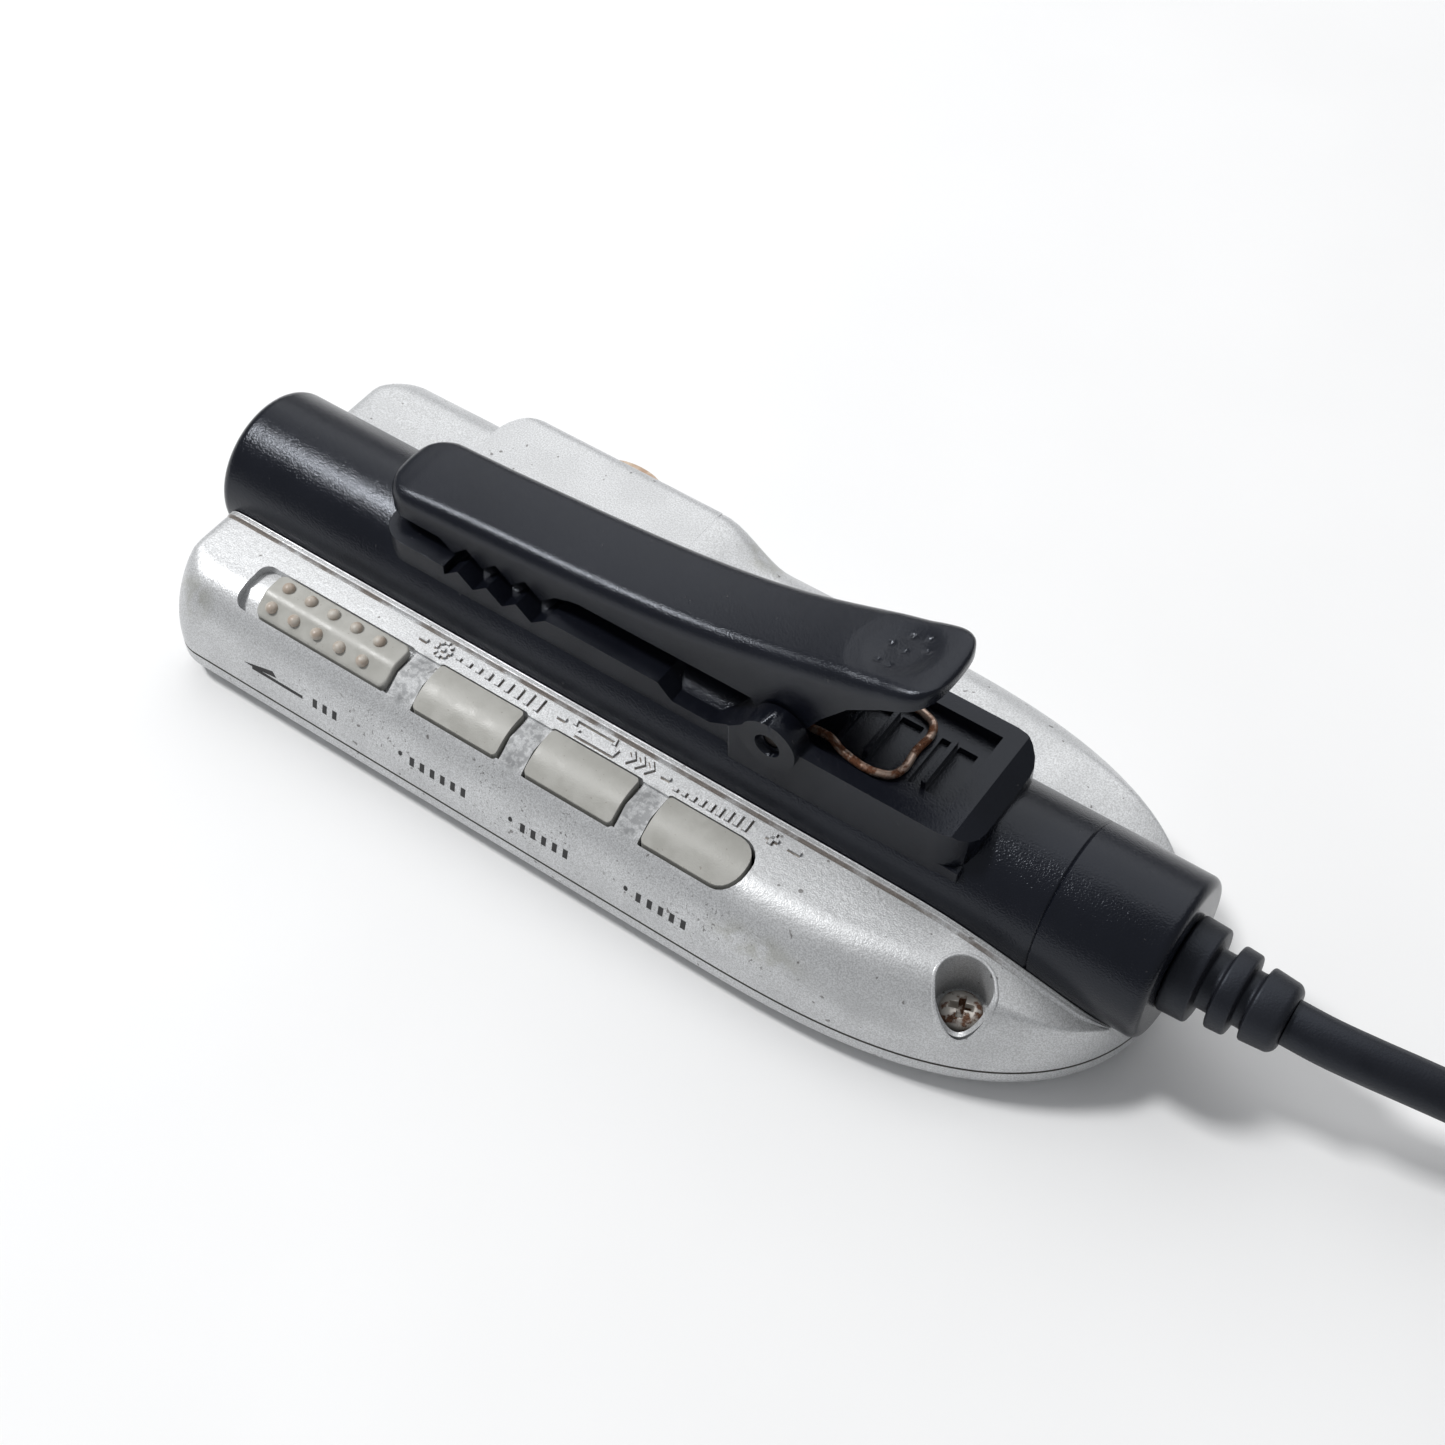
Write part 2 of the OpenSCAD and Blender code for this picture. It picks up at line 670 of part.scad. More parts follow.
module cord_tie() {
    color("black") translate([coil_at[0], coil_at[1], 0]) rotate([0, 0, 120]) difference() {
        block(
            [coil_in - 0.05 - 2 * tie_t, -2.5, 0],
            [coil_out + 0.05 + tie_t, 2.5, coil_z + coil_h + 0.05 + tie_t]
        );
        block([coil_in - 0.05 - tie_t, -3, coil_z - 0.001], [coil_out + 0.05, 3, coil_z + coil_h + 0.05]);
    }
}

// The plug lies along +Y from the end of the tail.
module plug_body() {
    color("dimgray") translate(plug_at) rotate([-90, 0, 0]) rotate_extrude() polygon(concat(
        [[0, 0], [2.1, 0], [2.6, 6], [plug_r - 0.4, 6]],
        [[plug_r, 6.6], [plug_r, 19.4], [plug_r - 0.6, 20], [0, 20]]
    ));
}

module plug_tip() {
    color("gold") translate(plug_at) rotate([-90, 0, 0]) rotate_extrude() polygon([
        [0, 20], [1.75, 20], [1.75, 31.2], [1.2, 32], [1.55, 32.7], [0.5, 34], [0, 34]
    ]);
}

rear_shell();
front_shell();
jog_cover();
display_window();
lcd_panel();
light_guide();
circuit_board();
board_screws();
case_screw();
display_key();
mode_key();
sound_key();
key_switches();
hold_slider();
hold_wiper();
hold_switch();
jog_lever();
jog_carrier();
jog_switch();
barrel();
barrel_cap();
headphone_jack();
jack_contacts();
clip_base();
clip_lever();
clip_pin();
clip_spring();
strain_relief();
cord();
cord_coil();
cord_tie();
cord_tail();
plug_body();
plug_tip();
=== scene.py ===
"""In-line wired remote control with a clothing clip, lying on its display face.

Shapes are drawn in millimetres from the barrel's axis (X along the barrel, Y across, Z up) and put in
the frame by place(). The cord's route is in the frame's own metres.
"""

import math

import bmesh
import bpy
from mathutils import Matrix, Vector


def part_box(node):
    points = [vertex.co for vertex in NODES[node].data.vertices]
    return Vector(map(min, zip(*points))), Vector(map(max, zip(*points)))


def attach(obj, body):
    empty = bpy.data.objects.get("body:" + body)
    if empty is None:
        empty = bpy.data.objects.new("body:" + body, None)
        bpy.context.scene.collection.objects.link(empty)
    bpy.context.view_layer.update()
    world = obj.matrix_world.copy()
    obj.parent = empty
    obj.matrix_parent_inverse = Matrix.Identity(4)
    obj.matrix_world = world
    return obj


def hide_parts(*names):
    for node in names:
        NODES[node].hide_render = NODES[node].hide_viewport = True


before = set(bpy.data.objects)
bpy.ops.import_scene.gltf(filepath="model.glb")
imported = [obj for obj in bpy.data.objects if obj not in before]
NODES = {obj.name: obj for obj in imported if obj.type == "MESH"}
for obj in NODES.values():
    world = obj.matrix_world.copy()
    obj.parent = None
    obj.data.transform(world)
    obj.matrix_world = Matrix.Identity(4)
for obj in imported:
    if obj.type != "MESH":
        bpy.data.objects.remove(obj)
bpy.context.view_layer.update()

MM = 0.001
BARREL_LOW, BARREL_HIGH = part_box("barrel")
AXIS = Vector((0, (BARREL_LOW.y + BARREL_HIGH.y) / 2, (BARREL_LOW.z + BARREL_HIGH.z) / 2))

# ------------------------------------------------------------------ camera

VIEW_AZIMUTH = math.radians(35.21)
VIEW_ELEVATION = math.radians(52.03)
VIEW_DISTANCE = 0.1582
LENS = 55.36


def make_camera():
    back = Vector((
        math.sin(VIEW_AZIMUTH) * math.cos(VIEW_ELEVATION),
        -math.cos(VIEW_AZIMUTH) * math.cos(VIEW_ELEVATION),
        math.sin(VIEW_ELEVATION),
    ))
    right = Vector((math.cos(VIEW_AZIMUTH), math.sin(VIEW_AZIMUTH), 0))
    up = back.cross(right)
    aim = AXIS + Vector((3.52 * MM, 0, 0)) - right * 0.3 * MM - up * 0.88 * MM
    camera = bpy.data.objects.new("camera", bpy.data.cameras.new("camera"))
    bpy.context.scene.collection.objects.link(camera)
    camera.data.lens = LENS
    camera.data.clip_start = 0.005
    camera.matrix_world = Matrix.Translation(aim + back * VIEW_DISTANCE) @ Matrix(
        (right, up, back)).transposed().to_4x4()
    bpy.context.scene.camera = camera


make_camera()

# ------------------------------------------------------------------ sizes, in millimetres

BARREL_R = 6
BARREL_X = 39.8
SEAM_X = 31.6
TROUGH_R = 6.03
WALL = 1.2
PARTING = -6.5
CASING_X0 = -38.8
NOSE_X = 8.5
TIP_X = 39.3
NEAR_W = 14.7
FAR_W = 15.2
FAR_LEFT_W = 14.8
CORNER_R = 3
TABLE = -9.4

KEY_X = [-15.4 + 10.16 * i for i in range(3)]
KEY_L = 7.64
KEY_Y = (-12.4, -8.75)
RIDGE_Y = -10.8
KNOB_X = (-30.7, -18.0)
BRIDGE_X = [(KNOB_X[1] + KEY_X[0]) / 2, KEY_X[1] - 1.26, KEY_X[2] - 1.26]
HOLD_TRAVEL = 1.75
SCREW = (29.1, -9.4)
SCREW_FLOOR = -4.2
SCREW_WELL_R = 1.95
SCREW_BORE_R = 0.95
WELL_END = (SCREW[0] + 0.3, SCREW[1] - 0.42)
HINGE = (10.7, 7.2)
COVER = (-26.5, -7, 6.9)
COVER_TOP = 1.6
COVER_CORNER_R = 4

CORD_D = 0.0033
TIE_T = 0.5

# ------------------------------------------------------------------ mesh helpers


def place(p):
    return AXIS + Vector(p) * MM


def mix(a, b, t):
    return a + (b - a) * t


def steps(a, b, n):
    return [a + (b - a) * i / n for i in range(n + 1)]


def smooth_min(a, b, k):
    h = max(k - abs(a - b), 0) / k
    return min(a, b) - h * h * k / 4


def bump(x, middle, half):
    """A smooth hill one high and 2 * half wide."""
    t = abs(x - middle) / half
    return 0 if t >= 1 else 0.5 + 0.5 * math.cos(math.pi * t)


def arc(c, rx, ry, a0, a1, n):
    return [
        (c[0] + rx * math.cos(math.radians(a)), c[1] + ry * math.sin(math.radians(a)))
        for a in steps(a0, a1, n)
    ]


def rounded_rect(x0, x1, y0, y1, ra, rb, n=6):
    """A rectangle whose two left corners are rounded by ra and its two right ones by rb."""
    return (
        arc((x0 + ra, y0 + ra), ra, ra, 180, 270, n) + arc((x1 - rb, y0 + rb), rb, rb, 270, 360, n)
        + arc((x1 - rb, y1 - rb), rb, rb, 0, 90, n) + arc((x0 + ra, y1 - ra), ra, ra, 90, 180, n)
    )


def eased(points, r, n=4):
    """A closed outline with every corner rounded by up to r."""
    out = []
    for i, p in enumerate(points):
        p = Vector(p)
        a = Vector(points[i - 1]) - p
        b = Vector(points[(i + 1) % len(points)]) - p
        reach = min(r, a.length * 0.45, b.length * 0.45)
        a, b = p + a.normalized() * reach, p + b.normalized() * reach
        out += [tuple((1 - t) ** 2 * a + 2 * t * (1 - t) * p + t * t * b) for t in steps(0, 1, n)]
    return out


def make(name, points, faces, sharp=35, weld=0.002):
    """A mesh object from points in millimetres from the barrel's axis."""
    mesh = bpy.data.meshes.new(name)
    mesh.from_pydata([place(p) for p in points], [], faces)
    obj = bpy.data.objects.new(name, mesh)
    bpy.context.scene.collection.objects.link(obj)
    clean(obj, sharp, weld)
    return obj


def clean(obj, sharp=35, weld=0.002):
    """Joins doubled points, turns the faces outwards and shades smooth up to an angle."""
    bm = bmesh.new()
    bm.from_mesh(obj.data)
    bmesh.ops.remove_doubles(bm, verts=bm.verts, dist=weld * MM)
    bmesh.ops.dissolve_degenerate(bm, edges=bm.edges, dist=weld * MM / 2)
    bmesh.ops.recalc_face_normals(bm, faces=bm.faces)
    bm.to_mesh(obj.data)
    bm.free()
    obj.data.shade_smooth()
    obj.data.set_sharp_from_angle(angle=math.radians(sharp))


def apply_modifiers(obj):
    bpy.context.view_layer.update()
    graph = bpy.context.evaluated_depsgraph_get()
    mesh = bpy.data.meshes.new_from_object(obj.evaluated_get(graph), depsgraph=graph)
    obj.modifiers.clear()
    obj.data = mesh


def combine(obj, *others, how="DIFFERENCE", sharp=35):
    """Cuts, joins or intersects obj with other solids, which are used up."""
    for other in others:
        boolean = obj.modifiers.new("combine", "BOOLEAN")
        boolean.operation = how
        boolean.solver = "EXACT"
        boolean.object = other
    apply_modifiers(obj)
    for other in others:
        bpy.data.objects.remove(other)
    clean(obj, sharp)
    return obj


def join(obj, *others):
    """Puts other meshes into obj's own mesh as loose parts."""
    bm = bmesh.new()
    for part in (obj, *others):
        bm.from_mesh(part.data)
    bm.to_mesh(obj.data)
    bm.free()
    for other in others:
        bpy.data.objects.remove(other)
    return obj


def bevel(obj, width, segments=3, angle=25, sharp=40):
    """Rounds every edge that turns by more than angle."""
    rounding = obj.modifiers.new("bevel", "BEVEL")
    rounding.width = width * MM
    rounding.segments = segments
    rounding.limit_method = "ANGLE"
    rounding.angle_limit = math.radians(angle)
    rounding.miter_outer = "MITER_ARC"
    apply_modifiers(obj)
    clean(obj, sharp)
    flat = obj.modifiers.new("flat", "WEIGHTED_NORMAL")
    flat.keep_sharp = True
    apply_modifiers(obj)
    return obj


def copy_of(node, name=None):
    """A new object with a CAD node's shape, its flat faces made whole."""
    obj = bpy.data.objects.new(name or node, NODES[node].data.copy())
    bpy.context.scene.collection.objects.link(obj)
    obj.data.materials.clear()
    bm = bmesh.new()
    bm.from_mesh(obj.data)
    bmesh.ops.remove_doubles(bm, verts=bm.verts, dist=0.001 * MM)
    bmesh.ops.dissolve_limit(bm, angle_limit=math.radians(0.6), verts=bm.verts, edges=bm.edges)
    bmesh.ops.recalc_face_normals(bm, faces=bm.faces)
    bm.to_mesh(obj.data)
    bm.free()
    return obj


def grid_faces(rows, columns, start=0, close_columns=False):
    """Quads over a grid of points, row after row."""
    faces = []
    for i in range(rows - 1):
        for j in range(columns if close_columns else columns - 1):
            k = (j + 1) % columns
            a, b = start + i * columns, start + (i + 1) * columns
            faces.append((a + j, a + k, b + k, b + j))
    return faces


def tube_rings(name, rings, sharp=35):
    """A solid from closed rings of equal length, capped at both ends."""
    n = len(rings[0])
    faces = grid_faces(len(rings), n, close_columns=True)
    last = (len(rings) - 1) * n
    faces += [tuple(range(n)), tuple(range(last, last + n))]
    return make(name, [p for ring in rings for p in ring], faces, sharp)


def extrude(name, outline, low, high, axis, sharp=35):
    """An outline run along an axis: [y, z] along x, [x, z] along y or [x, y] along z."""
    def at(p, h):
        return {"x": (h, p[0], p[1]), "y": (p[0], h, p[1]), "z": (p[0], p[1], h)}[axis]
    return tube_rings(name, [[at(p, low) for p in outline], [at(p, high) for p in outline]], sharp)


def lathe(name, profile, n=96, centre=(0, 0, 0), turn=None, sharp=35):
    """A solid turned about X: the closed profile's first value is the radius, its second is along X."""
    points = []
    for i in range(n):
        a = 2 * math.pi * i / n
        for r, x in profile:
            p = Vector((x, r * math.cos(a), r * math.sin(a)))
            points.append(Vector(centre) + (turn @ p if turn else p))
    m = len(profile)
    faces = [
        (i * m + j, i * m + (j + 1) % m, (i + 1) % n * m + (j + 1) % m, (i + 1) % n * m + j)
        for i in range(n) for j in range(m)
    ]
    return make(name, points, faces, sharp)


# ------------------------------------------------------------------ materials


class Look:
    """A procedural material: a Principled shader and the nodes that feed it."""

    def __init__(self, name, **sockets):
        self.material = bpy.data.materials.new(name)
        self.material.use_nodes = True
        self.tree = self.material.node_tree
        self.shader = self.tree.nodes["Principled BSDF"]
        self.coordinates = self.tree.nodes.new("ShaderNodeTexCoord").outputs["Object"]
        self.height = None
        for socket, value in sockets.items():
            self.shader.inputs[socket.replace("_", " ")].default_value = value

    def node(self, kind, inputs=(), **settings):
        node = self.tree.nodes.new(kind)
        for key, value in settings.items():
            setattr(node, key, value)
        for key, value in dict(inputs).items():
            if isinstance(value, bpy.types.NodeSocket):
                self.tree.links.new(value, node.inputs[key])
            else:
                node.inputs[key].default_value = value
        return node

    def mapped(self, scale, middle=(0, 0, 0)):
        """Object coordinates about a point in the frame, divided by a scale in metres on each axis."""
        shift = self.node("ShaderNodeVectorMath", {0: self.coordinates, 1: middle}, operation="SUBTRACT")
        size = self.node("ShaderNodeVectorMath", {0: shift.outputs[0], 1: scale}, operation="DIVIDE")
        return size.outputs[0]

    def noise(self, size, detail=3, low=0.35, high=0.65, stretch=(1, 1, 1), rough=0.55):
        """Noise with features of about size metres, spread from 0 to 1 between two of its levels."""
        scale = tuple(size * s for s in stretch)
        made = self.node("ShaderNodeTexNoise", {
            "Vector": self.mapped(scale), "Scale": 1.0, "Detail": detail, "Roughness": rough})
        return self.ramp(made.outputs["Fac"], low, high)

    def ramp(self, value, low, high, to_low=0.0, to_high=1.0, smooth=True):
        made = self.node("ShaderNodeMapRange", {
            "Value": value, "From Min": low, "From Max": high, "To Min": to_low, "To Max": to_high},
            interpolation_type="SMOOTHSTEP" if smooth else "LINEAR")
        return made.outputs["Result"]

    def math(self, how, a, b=0.5):
        return self.node("ShaderNodeMath", {0: a, 1: b}, operation=how).outputs[0]

    def ball(self, middle, reach, soft=0.4):
        """One within an ellipsoid about a point, fading to zero at its edge; both in metres."""
        away = self.node("ShaderNodeVectorMath", {0: self.mapped(reach, middle)}, operation="LENGTH")
        return self.ramp(away.outputs["Value"], 1.0, 1.0 - soft)

    def axis_value(self, axis):
        split = self.node("ShaderNodeSeparateXYZ", {0: self.coordinates})
        return split.outputs[axis]

    def blend(self, amount, a, b):
        made = self.node("ShaderNodeMix", data_type="RGBA")
        for key, value in (("Factor", amount), ("A", a), ("B", b)):
            socket = [s for s in made.inputs if s.name == key and s.enabled][0]
            if isinstance(value, bpy.types.NodeSocket):
                self.tree.links.new(value, socket)
            else:
                socket.default_value = value if key == "Factor" else (*value, 1.0)
        return [s for s in made.outputs if s.enabled][0]

    def colour(self, value):
        self.tree.links.new(value, self.shader.inputs["Base Color"])

    def roughness(self, value):
        self.tree.links.new(value, self.shader.inputs["Roughness"])

    def relief(self, value, depth):
        """Adds a fine bump of that depth in metres."""
        made = self.node("ShaderNodeBump", {"Height": value, "Distance": depth, "Strength": 1.0})
        if self.height is not None:
            self.tree.links.new(self.height, made.inputs["Normal"])
        self.height = made.outputs["Normal"]
        self.tree.links.new(self.height, self.shader.inputs["Normal"])


def put(obj, look):
    obj.data.materials.clear()
    obj.data.materials.append(look.material)
    return obj


def place_m(x, y, z):
    """A point given in millimetres from the barrel's axis, in the frame's metres."""
    return tuple(place((x, y, z)))


def silver_look():
    look = Look("casing_silver", Metallic=0.5, Roughness=0.42, Specular_IOR_Level=0.5)
    flakes = look.noise(0.00011, detail=1, low=0.3, high=0.7)
    cloud = look.noise(0.004, detail=4)
    base = look.blend(flakes, (0.48, 0.485, 0.49), (0.70, 0.71, 0.72))
    base = look.blend(look.math("MULTIPLY", cloud, 0.2), base, (0.45, 0.455, 0.46))
    # Rubbed patches where the paint has gone greenish beige
    for middle, reach, amount in (
        ((-36.2, -13.2, -1.6), (2.6, 1.7, 2.4), 0.55),
        ((15.5, -13.6, -2.6), (5.2, 1.6, 1.7), 0.5),
        ((-2.0, 13.5, 0.3), (3.4, 2.2, 2.0), 0.45),
    ):
        spot = look.ball(place_m(*middle), tuple(v * MM for v in reach), soft=0.7)
        spot = look.math("MULTIPLY", spot, look.noise(0.0016, detail=4, low=0.38, high=0.6))
        base = look.blend(look.math("MULTIPLY", spot, amount), base, (0.36, 0.36, 0.31))
    # Dark specks along the near side, below the keys
    low_side = look.ball(place_m(-3, -14.4, -2.9), (0.030, 0.0030, 0.0040), soft=0.5)
    specks = look.noise(0.00028, detail=2, low=0.62, high=0.68)
    patches = look.noise(0.0035, detail=3, low=0.36, high=0.62)
    dirt = look.math("MULTIPLY", look.math("MULTIPLY", specks, patches), low_side)
    base = look.blend(look.math("MULTIPLY", dirt, 0.8), base, (0.10, 0.095, 0.09))
    sparse = look.noise(0.0007, detail=1, low=0.74, high=0.77)
    base = look.blend(look.math("MULTIPLY", sparse, 0.7), base, (0.09, 0.08, 0.075))
    # Brown painted shade in the case screw's recess, and a painted dark reflection as a band along the nose's near
    # slope
    recess = look.ball(place_m(29.25, -9.6, -4.5), (0.0023, 0.0023, 0.0026), soft=0.6)
    base = look.blend(look.math("MULTIPLY", recess, 0.8), base, (0.10, 0.075, 0.055))
    # Painted dark reflection: a soft darker band along the nose's near slope
    slope = look.ball(place_m(21.5, -12.7, -3.3), (0.0085, 0.0020, 0.0020), soft=0.9)
    base = look.blend(look.math("MULTIPLY", slope, 0.45), base, (0.27, 0.275, 0.28))
    # Flaking paint on the bridges between the keys, darkened there with painted shade, and duller
    dull = None
    for x in BRIDGE_X:
        bridge = look.ball(place_m(x, RIDGE_Y, 0.2), (0.0016, 0.0026, 0.0026), soft=0.35)
        flaky = look.noise(0.0005, detail=4, low=0.4, high=0.6)
        base = look.blend(look.math("MULTIPLY", bridge, look.ramp(flaky, 0, 1, 0.5, 0.95)), base, (0.29, 0.295, 0.30))
        dull = bridge if dull is None else look.math("ADD", dull, bridge)
    # Brown grime in the groove beside the barrel
    groove = look.math("ABSOLUTE", look.math("ADD", look.axis_value("Y"), -(AXIS.y - 6.62 * MM)))
    groove = look.ramp(groove, 0.00022, 0.00006)
    along = look.noise(0.003, detail=5, low=0.34, high=0.55)
    above = look.ramp(look.axis_value("Z"), AXIS.z - 0.001, AXIS.z)
    grime = look.math("MULTIPLY", look.math("MULTIPLY", groove, along), above)
    base = look.blend(look.math("MULTIPLY", grime, 0.75), base, (0.13, 0.09, 0.06))
    # The dark line where the halves meet
    seam = look.math("ABSOLUTE", look.math("ADD", look.axis_value("Z"), -(AXIS.z + PARTING * MM)))
    seam = look.ramp(seam, 0.00016, 0.00009)
    base = look.blend(look.math("MULTIPLY", seam, 0.92), base, (0.035, 0.03, 0.02))
    look.colour(base)
    satin = look.ramp(cloud, 0, 1, 0.36, 0.46)
    look.roughness(look.math("ADD", satin, look.math("MULTIPLY", dull, 0.26)))
    look.relief(flakes, 0.000005)
    look.relief(look.noise(0.0006, detail=3), 0.000006)
    return look


def black_look(name, rough, grain=0.00016, depth=0.000007):
    look = Look(name, Specular_IOR_Level=0.36, Specular_Tint=(0.86, 0.91, 1.0, 1.0))
    grit = look.noise(grain, detail=2, low=0.3, high=0.7)
    haze = look.noise(0.005, detail=5, low=0.2, high=0.8)
    base = look.blend(haze, (0.0042, 0.0050, 0.0085), (0.0070, 0.0080, 0.0125))
    dust = look.noise(0.00035, detail=2, low=0.73, high=0.77)
    base = look.blend(look.math("MULTIPLY", dust, 0.3), base, (0.10, 0.095, 0.09))
    look.colour(base)
    look.roughness(look.ramp(haze, 0, 1, rough - 0.015, rough + 0.02, smooth=False))
    look.relief(grit, depth)
    return look


def key_look():
    look = Look("key_grey", Roughness=0.4, Specular_IOR_Level=0.5)
    cloud = look.noise(0.0018, detail=4)
    base = look.blend(cloud, (0.385, 0.38, 0.35), (0.435, 0.43, 0.40))
    specks = look.noise(0.00022, detail=1, low=0.72, high=0.77)
    base = look.blend(look.math("MULTIPLY", specks, 0.5), base, (0.2, 0.17, 0.14))
    look.colour(base)
    look.roughness(look.ramp(cloud, 0, 1, 0.34, 0.46))
    look.relief(look.noise(0.00012, detail=2), 0.000003)
    return look


def cream_look():
    look = Look("cream_plastic", Roughness=0.4)
    cloud = look.noise(0.0009, detail=4)
    look.colour(look.blend(cloud, (0.42, 0.28, 0.19), (0.62, 0.5, 0.38)))
    look.roughness(look.ramp(cloud, 0, 1, 0.3, 0.5))
    look.relief(look.noise(0.0002, detail=2), 0.000006)
    return look


def rust_look(name, steel, rust, amount, size):
    look = Look(name, Metallic=0.6, Roughness=0.5)
    spots = look.noise(size, detail=5, low=0.5 - amount, high=0.62 - amount * 0.4)
    fine = look.noise(0.0001, detail=4)
    base = look.blend(fine, rust, tuple(v * 0.45 for v in rust))
    look.colour(look.blend(spots, steel, base))
    look.roughness(look.ramp(spots, 0, 1, 0.32, 0.75))
    look.relief(look.math("MULTIPLY", spots, fine), 0.000008)
    return look


def cord_look():
    look = Look("cord_rubber", Roughness=0.45, Specular_IOR_Level=0.38, Specular_Tint=(0.78, 0.86, 1.0, 1.0))
    haze = look.noise(0.004, detail=4)
    look.colour(look.blend(haze, (0.0065, 0.007, 0.010), (0.011, 0.0117, 0.0155)))
    look.roughness(look.ramp(haze, 0, 1, 0.42, 0.48))
    look.relief(look.noise(0.00018, detail=2), 0.000006)
    return look


def plain_look(name, dark, light, rough, metallic=0.0, grain=0.0004, depth=0.000004):
    look = Look(name, Metallic=metallic, Roughness=rough)
    cloud = look.noise(grain * 6, detail=4)
    look.colour(look.blend(cloud, dark, light))
    look.roughness(look.ramp(cloud, 0, 1, rough * 0.85, rough * 1.15))
    look.relief(look.noise(grain, detail=2), depth)
    return look


SILVER = silver_look()
BARREL = black_look("barrel_black", 0.19, grain=0.00014, depth=0.000009)
CLIP = black_look("clip_black", 0.22, grain=0.00013, depth=0.000009)
KEY = key_look()
CREAM = cream_look()
SPRING = rust_look("rusty_spring", (0.50, 0.38, 0.31), (0.24, 0.10, 0.05), 0.13, 0.0007)
SCREW_STEEL = rust_look("rusty_steel", (0.52, 0.49, 0.45), (0.20, 0.10, 0.06), 0.04, 0.0008)
CORD = cord_look()
PLUG = black_look("plug_black", 0.34)
GOLD = plain_look("plug_metal", (0.62, 0.45, 0.2), (0.75, 0.58, 0.3), 0.25, metallic=1.0)
BRASS = plain_look("contact_brass", (0.5, 0.36, 0.15), (0.62, 0.46, 0.22), 0.3, metallic=1.0)
STEEL = plain_look("bright_steel", (0.5, 0.5, 0.5), (0.62, 0.62, 0.61), 0.3, metallic=1.0)
BOARD = plain_look("board_green", (0.02, 0.12, 0.05), (0.03, 0.17, 0.08), 0.35)
GUIDE = plain_look("guide_white", (0.7, 0.73, 0.7), (0.8, 0.82, 0.8), 0.3)
LCD = plain_look("lcd_glass", (0.30, 0.34, 0.25), (0.36, 0.4, 0.3), 0.12, grain=0.001)
WINDOW = plain_look("window_smoke", (0.012, 0.013, 0.016), (0.02, 0.021, 0.024), 0.08, grain=0.001)
SWITCH = plain_look("switch_black", (0.015, 0.015, 0.016), (0.03, 0.03, 0.031), 0.5)
# Dirt and painted shade round the raised signs
SIGN_DIRT_AND_SHADE = plain_look("grime", (0.10, 0.075, 0.055), (0.34, 0.31, 0.28), 0.6, grain=0.00012)
INK = plain_look("ink", (0.008, 0.008, 0.009), (0.016, 0.016, 0.017), 0.5)
BEIGE = plain_look("worn_bumps", (0.40, 0.33, 0.27), (0.50, 0.47, 0.42), 0.4, grain=0.00015)
# Near-black hinge pin: painted shade for the dark hole it sits in
PIN_SHADED_STEEL = plain_look("pin_steel_painted_shade", (0.03, 0.025, 0.022), (0.07, 0.055, 0.045), 0.55, metallic=0.8)
JACK = black_look("jack_black", 0.38)


def fabric_look():
    look = Look("tie_fabric", Roughness=0.85, Sheen_Weight=0.4)
    weave = look.node("ShaderNodeTexWave", {"Vector": look.mapped((0.0006, 0.0006, 0.0006)), "Scale": 1.0,
                                            "Distortion": 2.0, "Detail": 2.0})
    look.colour(look.blend(weave.outputs["Fac"], (0.012, 0.012, 0.013), (0.035, 0.035, 0.037)))
    look.relief(weave.outputs["Fac"], 0.00006)
    return look


FABRIC = fabric_look()

# ------------------------------------------------------------------ cord and plug

RELIEF_END = (0.0477, -0.001, 0.0094)
LEAD_ROUTE = [
    RELIEF_END, (0.0502, -0.0009, 0.0093), (0.053, -0.0004, 0.0089), (0.056, 0.0004, 0.0082),
    (0.059, 0.0013, 0.0073), (0.062, 0.0021, 0.0064), (0.0653, 0.0026, 0.0054), (0.0685, 0.0023, 0.0045),
    (0.0712, 0.0008, 0.0036), (0.0728, -0.0018, 0.0029), (0.0734, -0.005, 0.00235), (0.0737, -0.0087, 0.00215),
]
TAIL_ROUTE = [
    (0.0946, -0.0316, 0.0056), (0.0982, -0.0317, 0.0063), (0.1018, -0.0312, 0.0072), (0.1052, -0.03, 0.0081),
    (0.1082, -0.0281, 0.0091), (0.1103, -0.0252, 0.0102), (0.111, -0.0218, 0.0109),
]
COIL_AT = (0.097, -0.0086)
COIL_R_OUT = 0.0231
COIL_R_IN = 0.0099
COIL_Z = (0.00215, 0.00545)
COIL_TURNS = 4
ENTRY_ANGLE = 190
EXIT_ANGLE = 255
TURN_POINTS = 16
TIE_ANGLE = 120


def coil_points():
    """Two layers: inwards at the bottom, up a step, and outwards on top."""
    whole = 2 * COIL_TURNS * 360 + EXIT_ANGLE - ENTRY_ANGLE
    n = round(whole / 360 * TURN_POINTS)
    points = []
    for i in range(n + 1):
        t = i / n
        a = math.radians(ENTRY_ANGLE + whole * t)
        inward = 1 - abs(2 * t - 1)
        r = mix(COIL_R_OUT, COIL_R_IN, inward)
        step = min(max((t - 0.5) * 2 * COIL_TURNS + 0.5, 0), 1)
        z = mix(COIL_Z[0], COIL_Z[1], step * step * (3 - 2 * step))
        points.append((COIL_AT[0] + r * math.cos(a), COIL_AT[1] + r * math.sin(a), z))
    return points


def make_cord():
    route = LEAD_ROUTE + coil_points() + TAIL_ROUTE
    curve = bpy.data.curves.new("cord", "CURVE")
    curve.dimensions = "3D"
    curve.bevel_depth = CORD_D / 2
    curve.bevel_resolution = 6
    curve.resolution_u = 6
    curve.use_fill_caps = True
    spline = curve.splines.new("BEZIER")
    spline.bezier_points.add(len(route) - 1)
    for knot, p in zip(spline.bezier_points, route):
        knot.co = p
        knot.handle_left_type = knot.handle_right_type = "AUTO"
    obj = bpy.data.objects.new("cord", curve)
    bpy.context.scene.collection.objects.link(obj)
    obj.data.materials.append(CORD.material)
    return obj


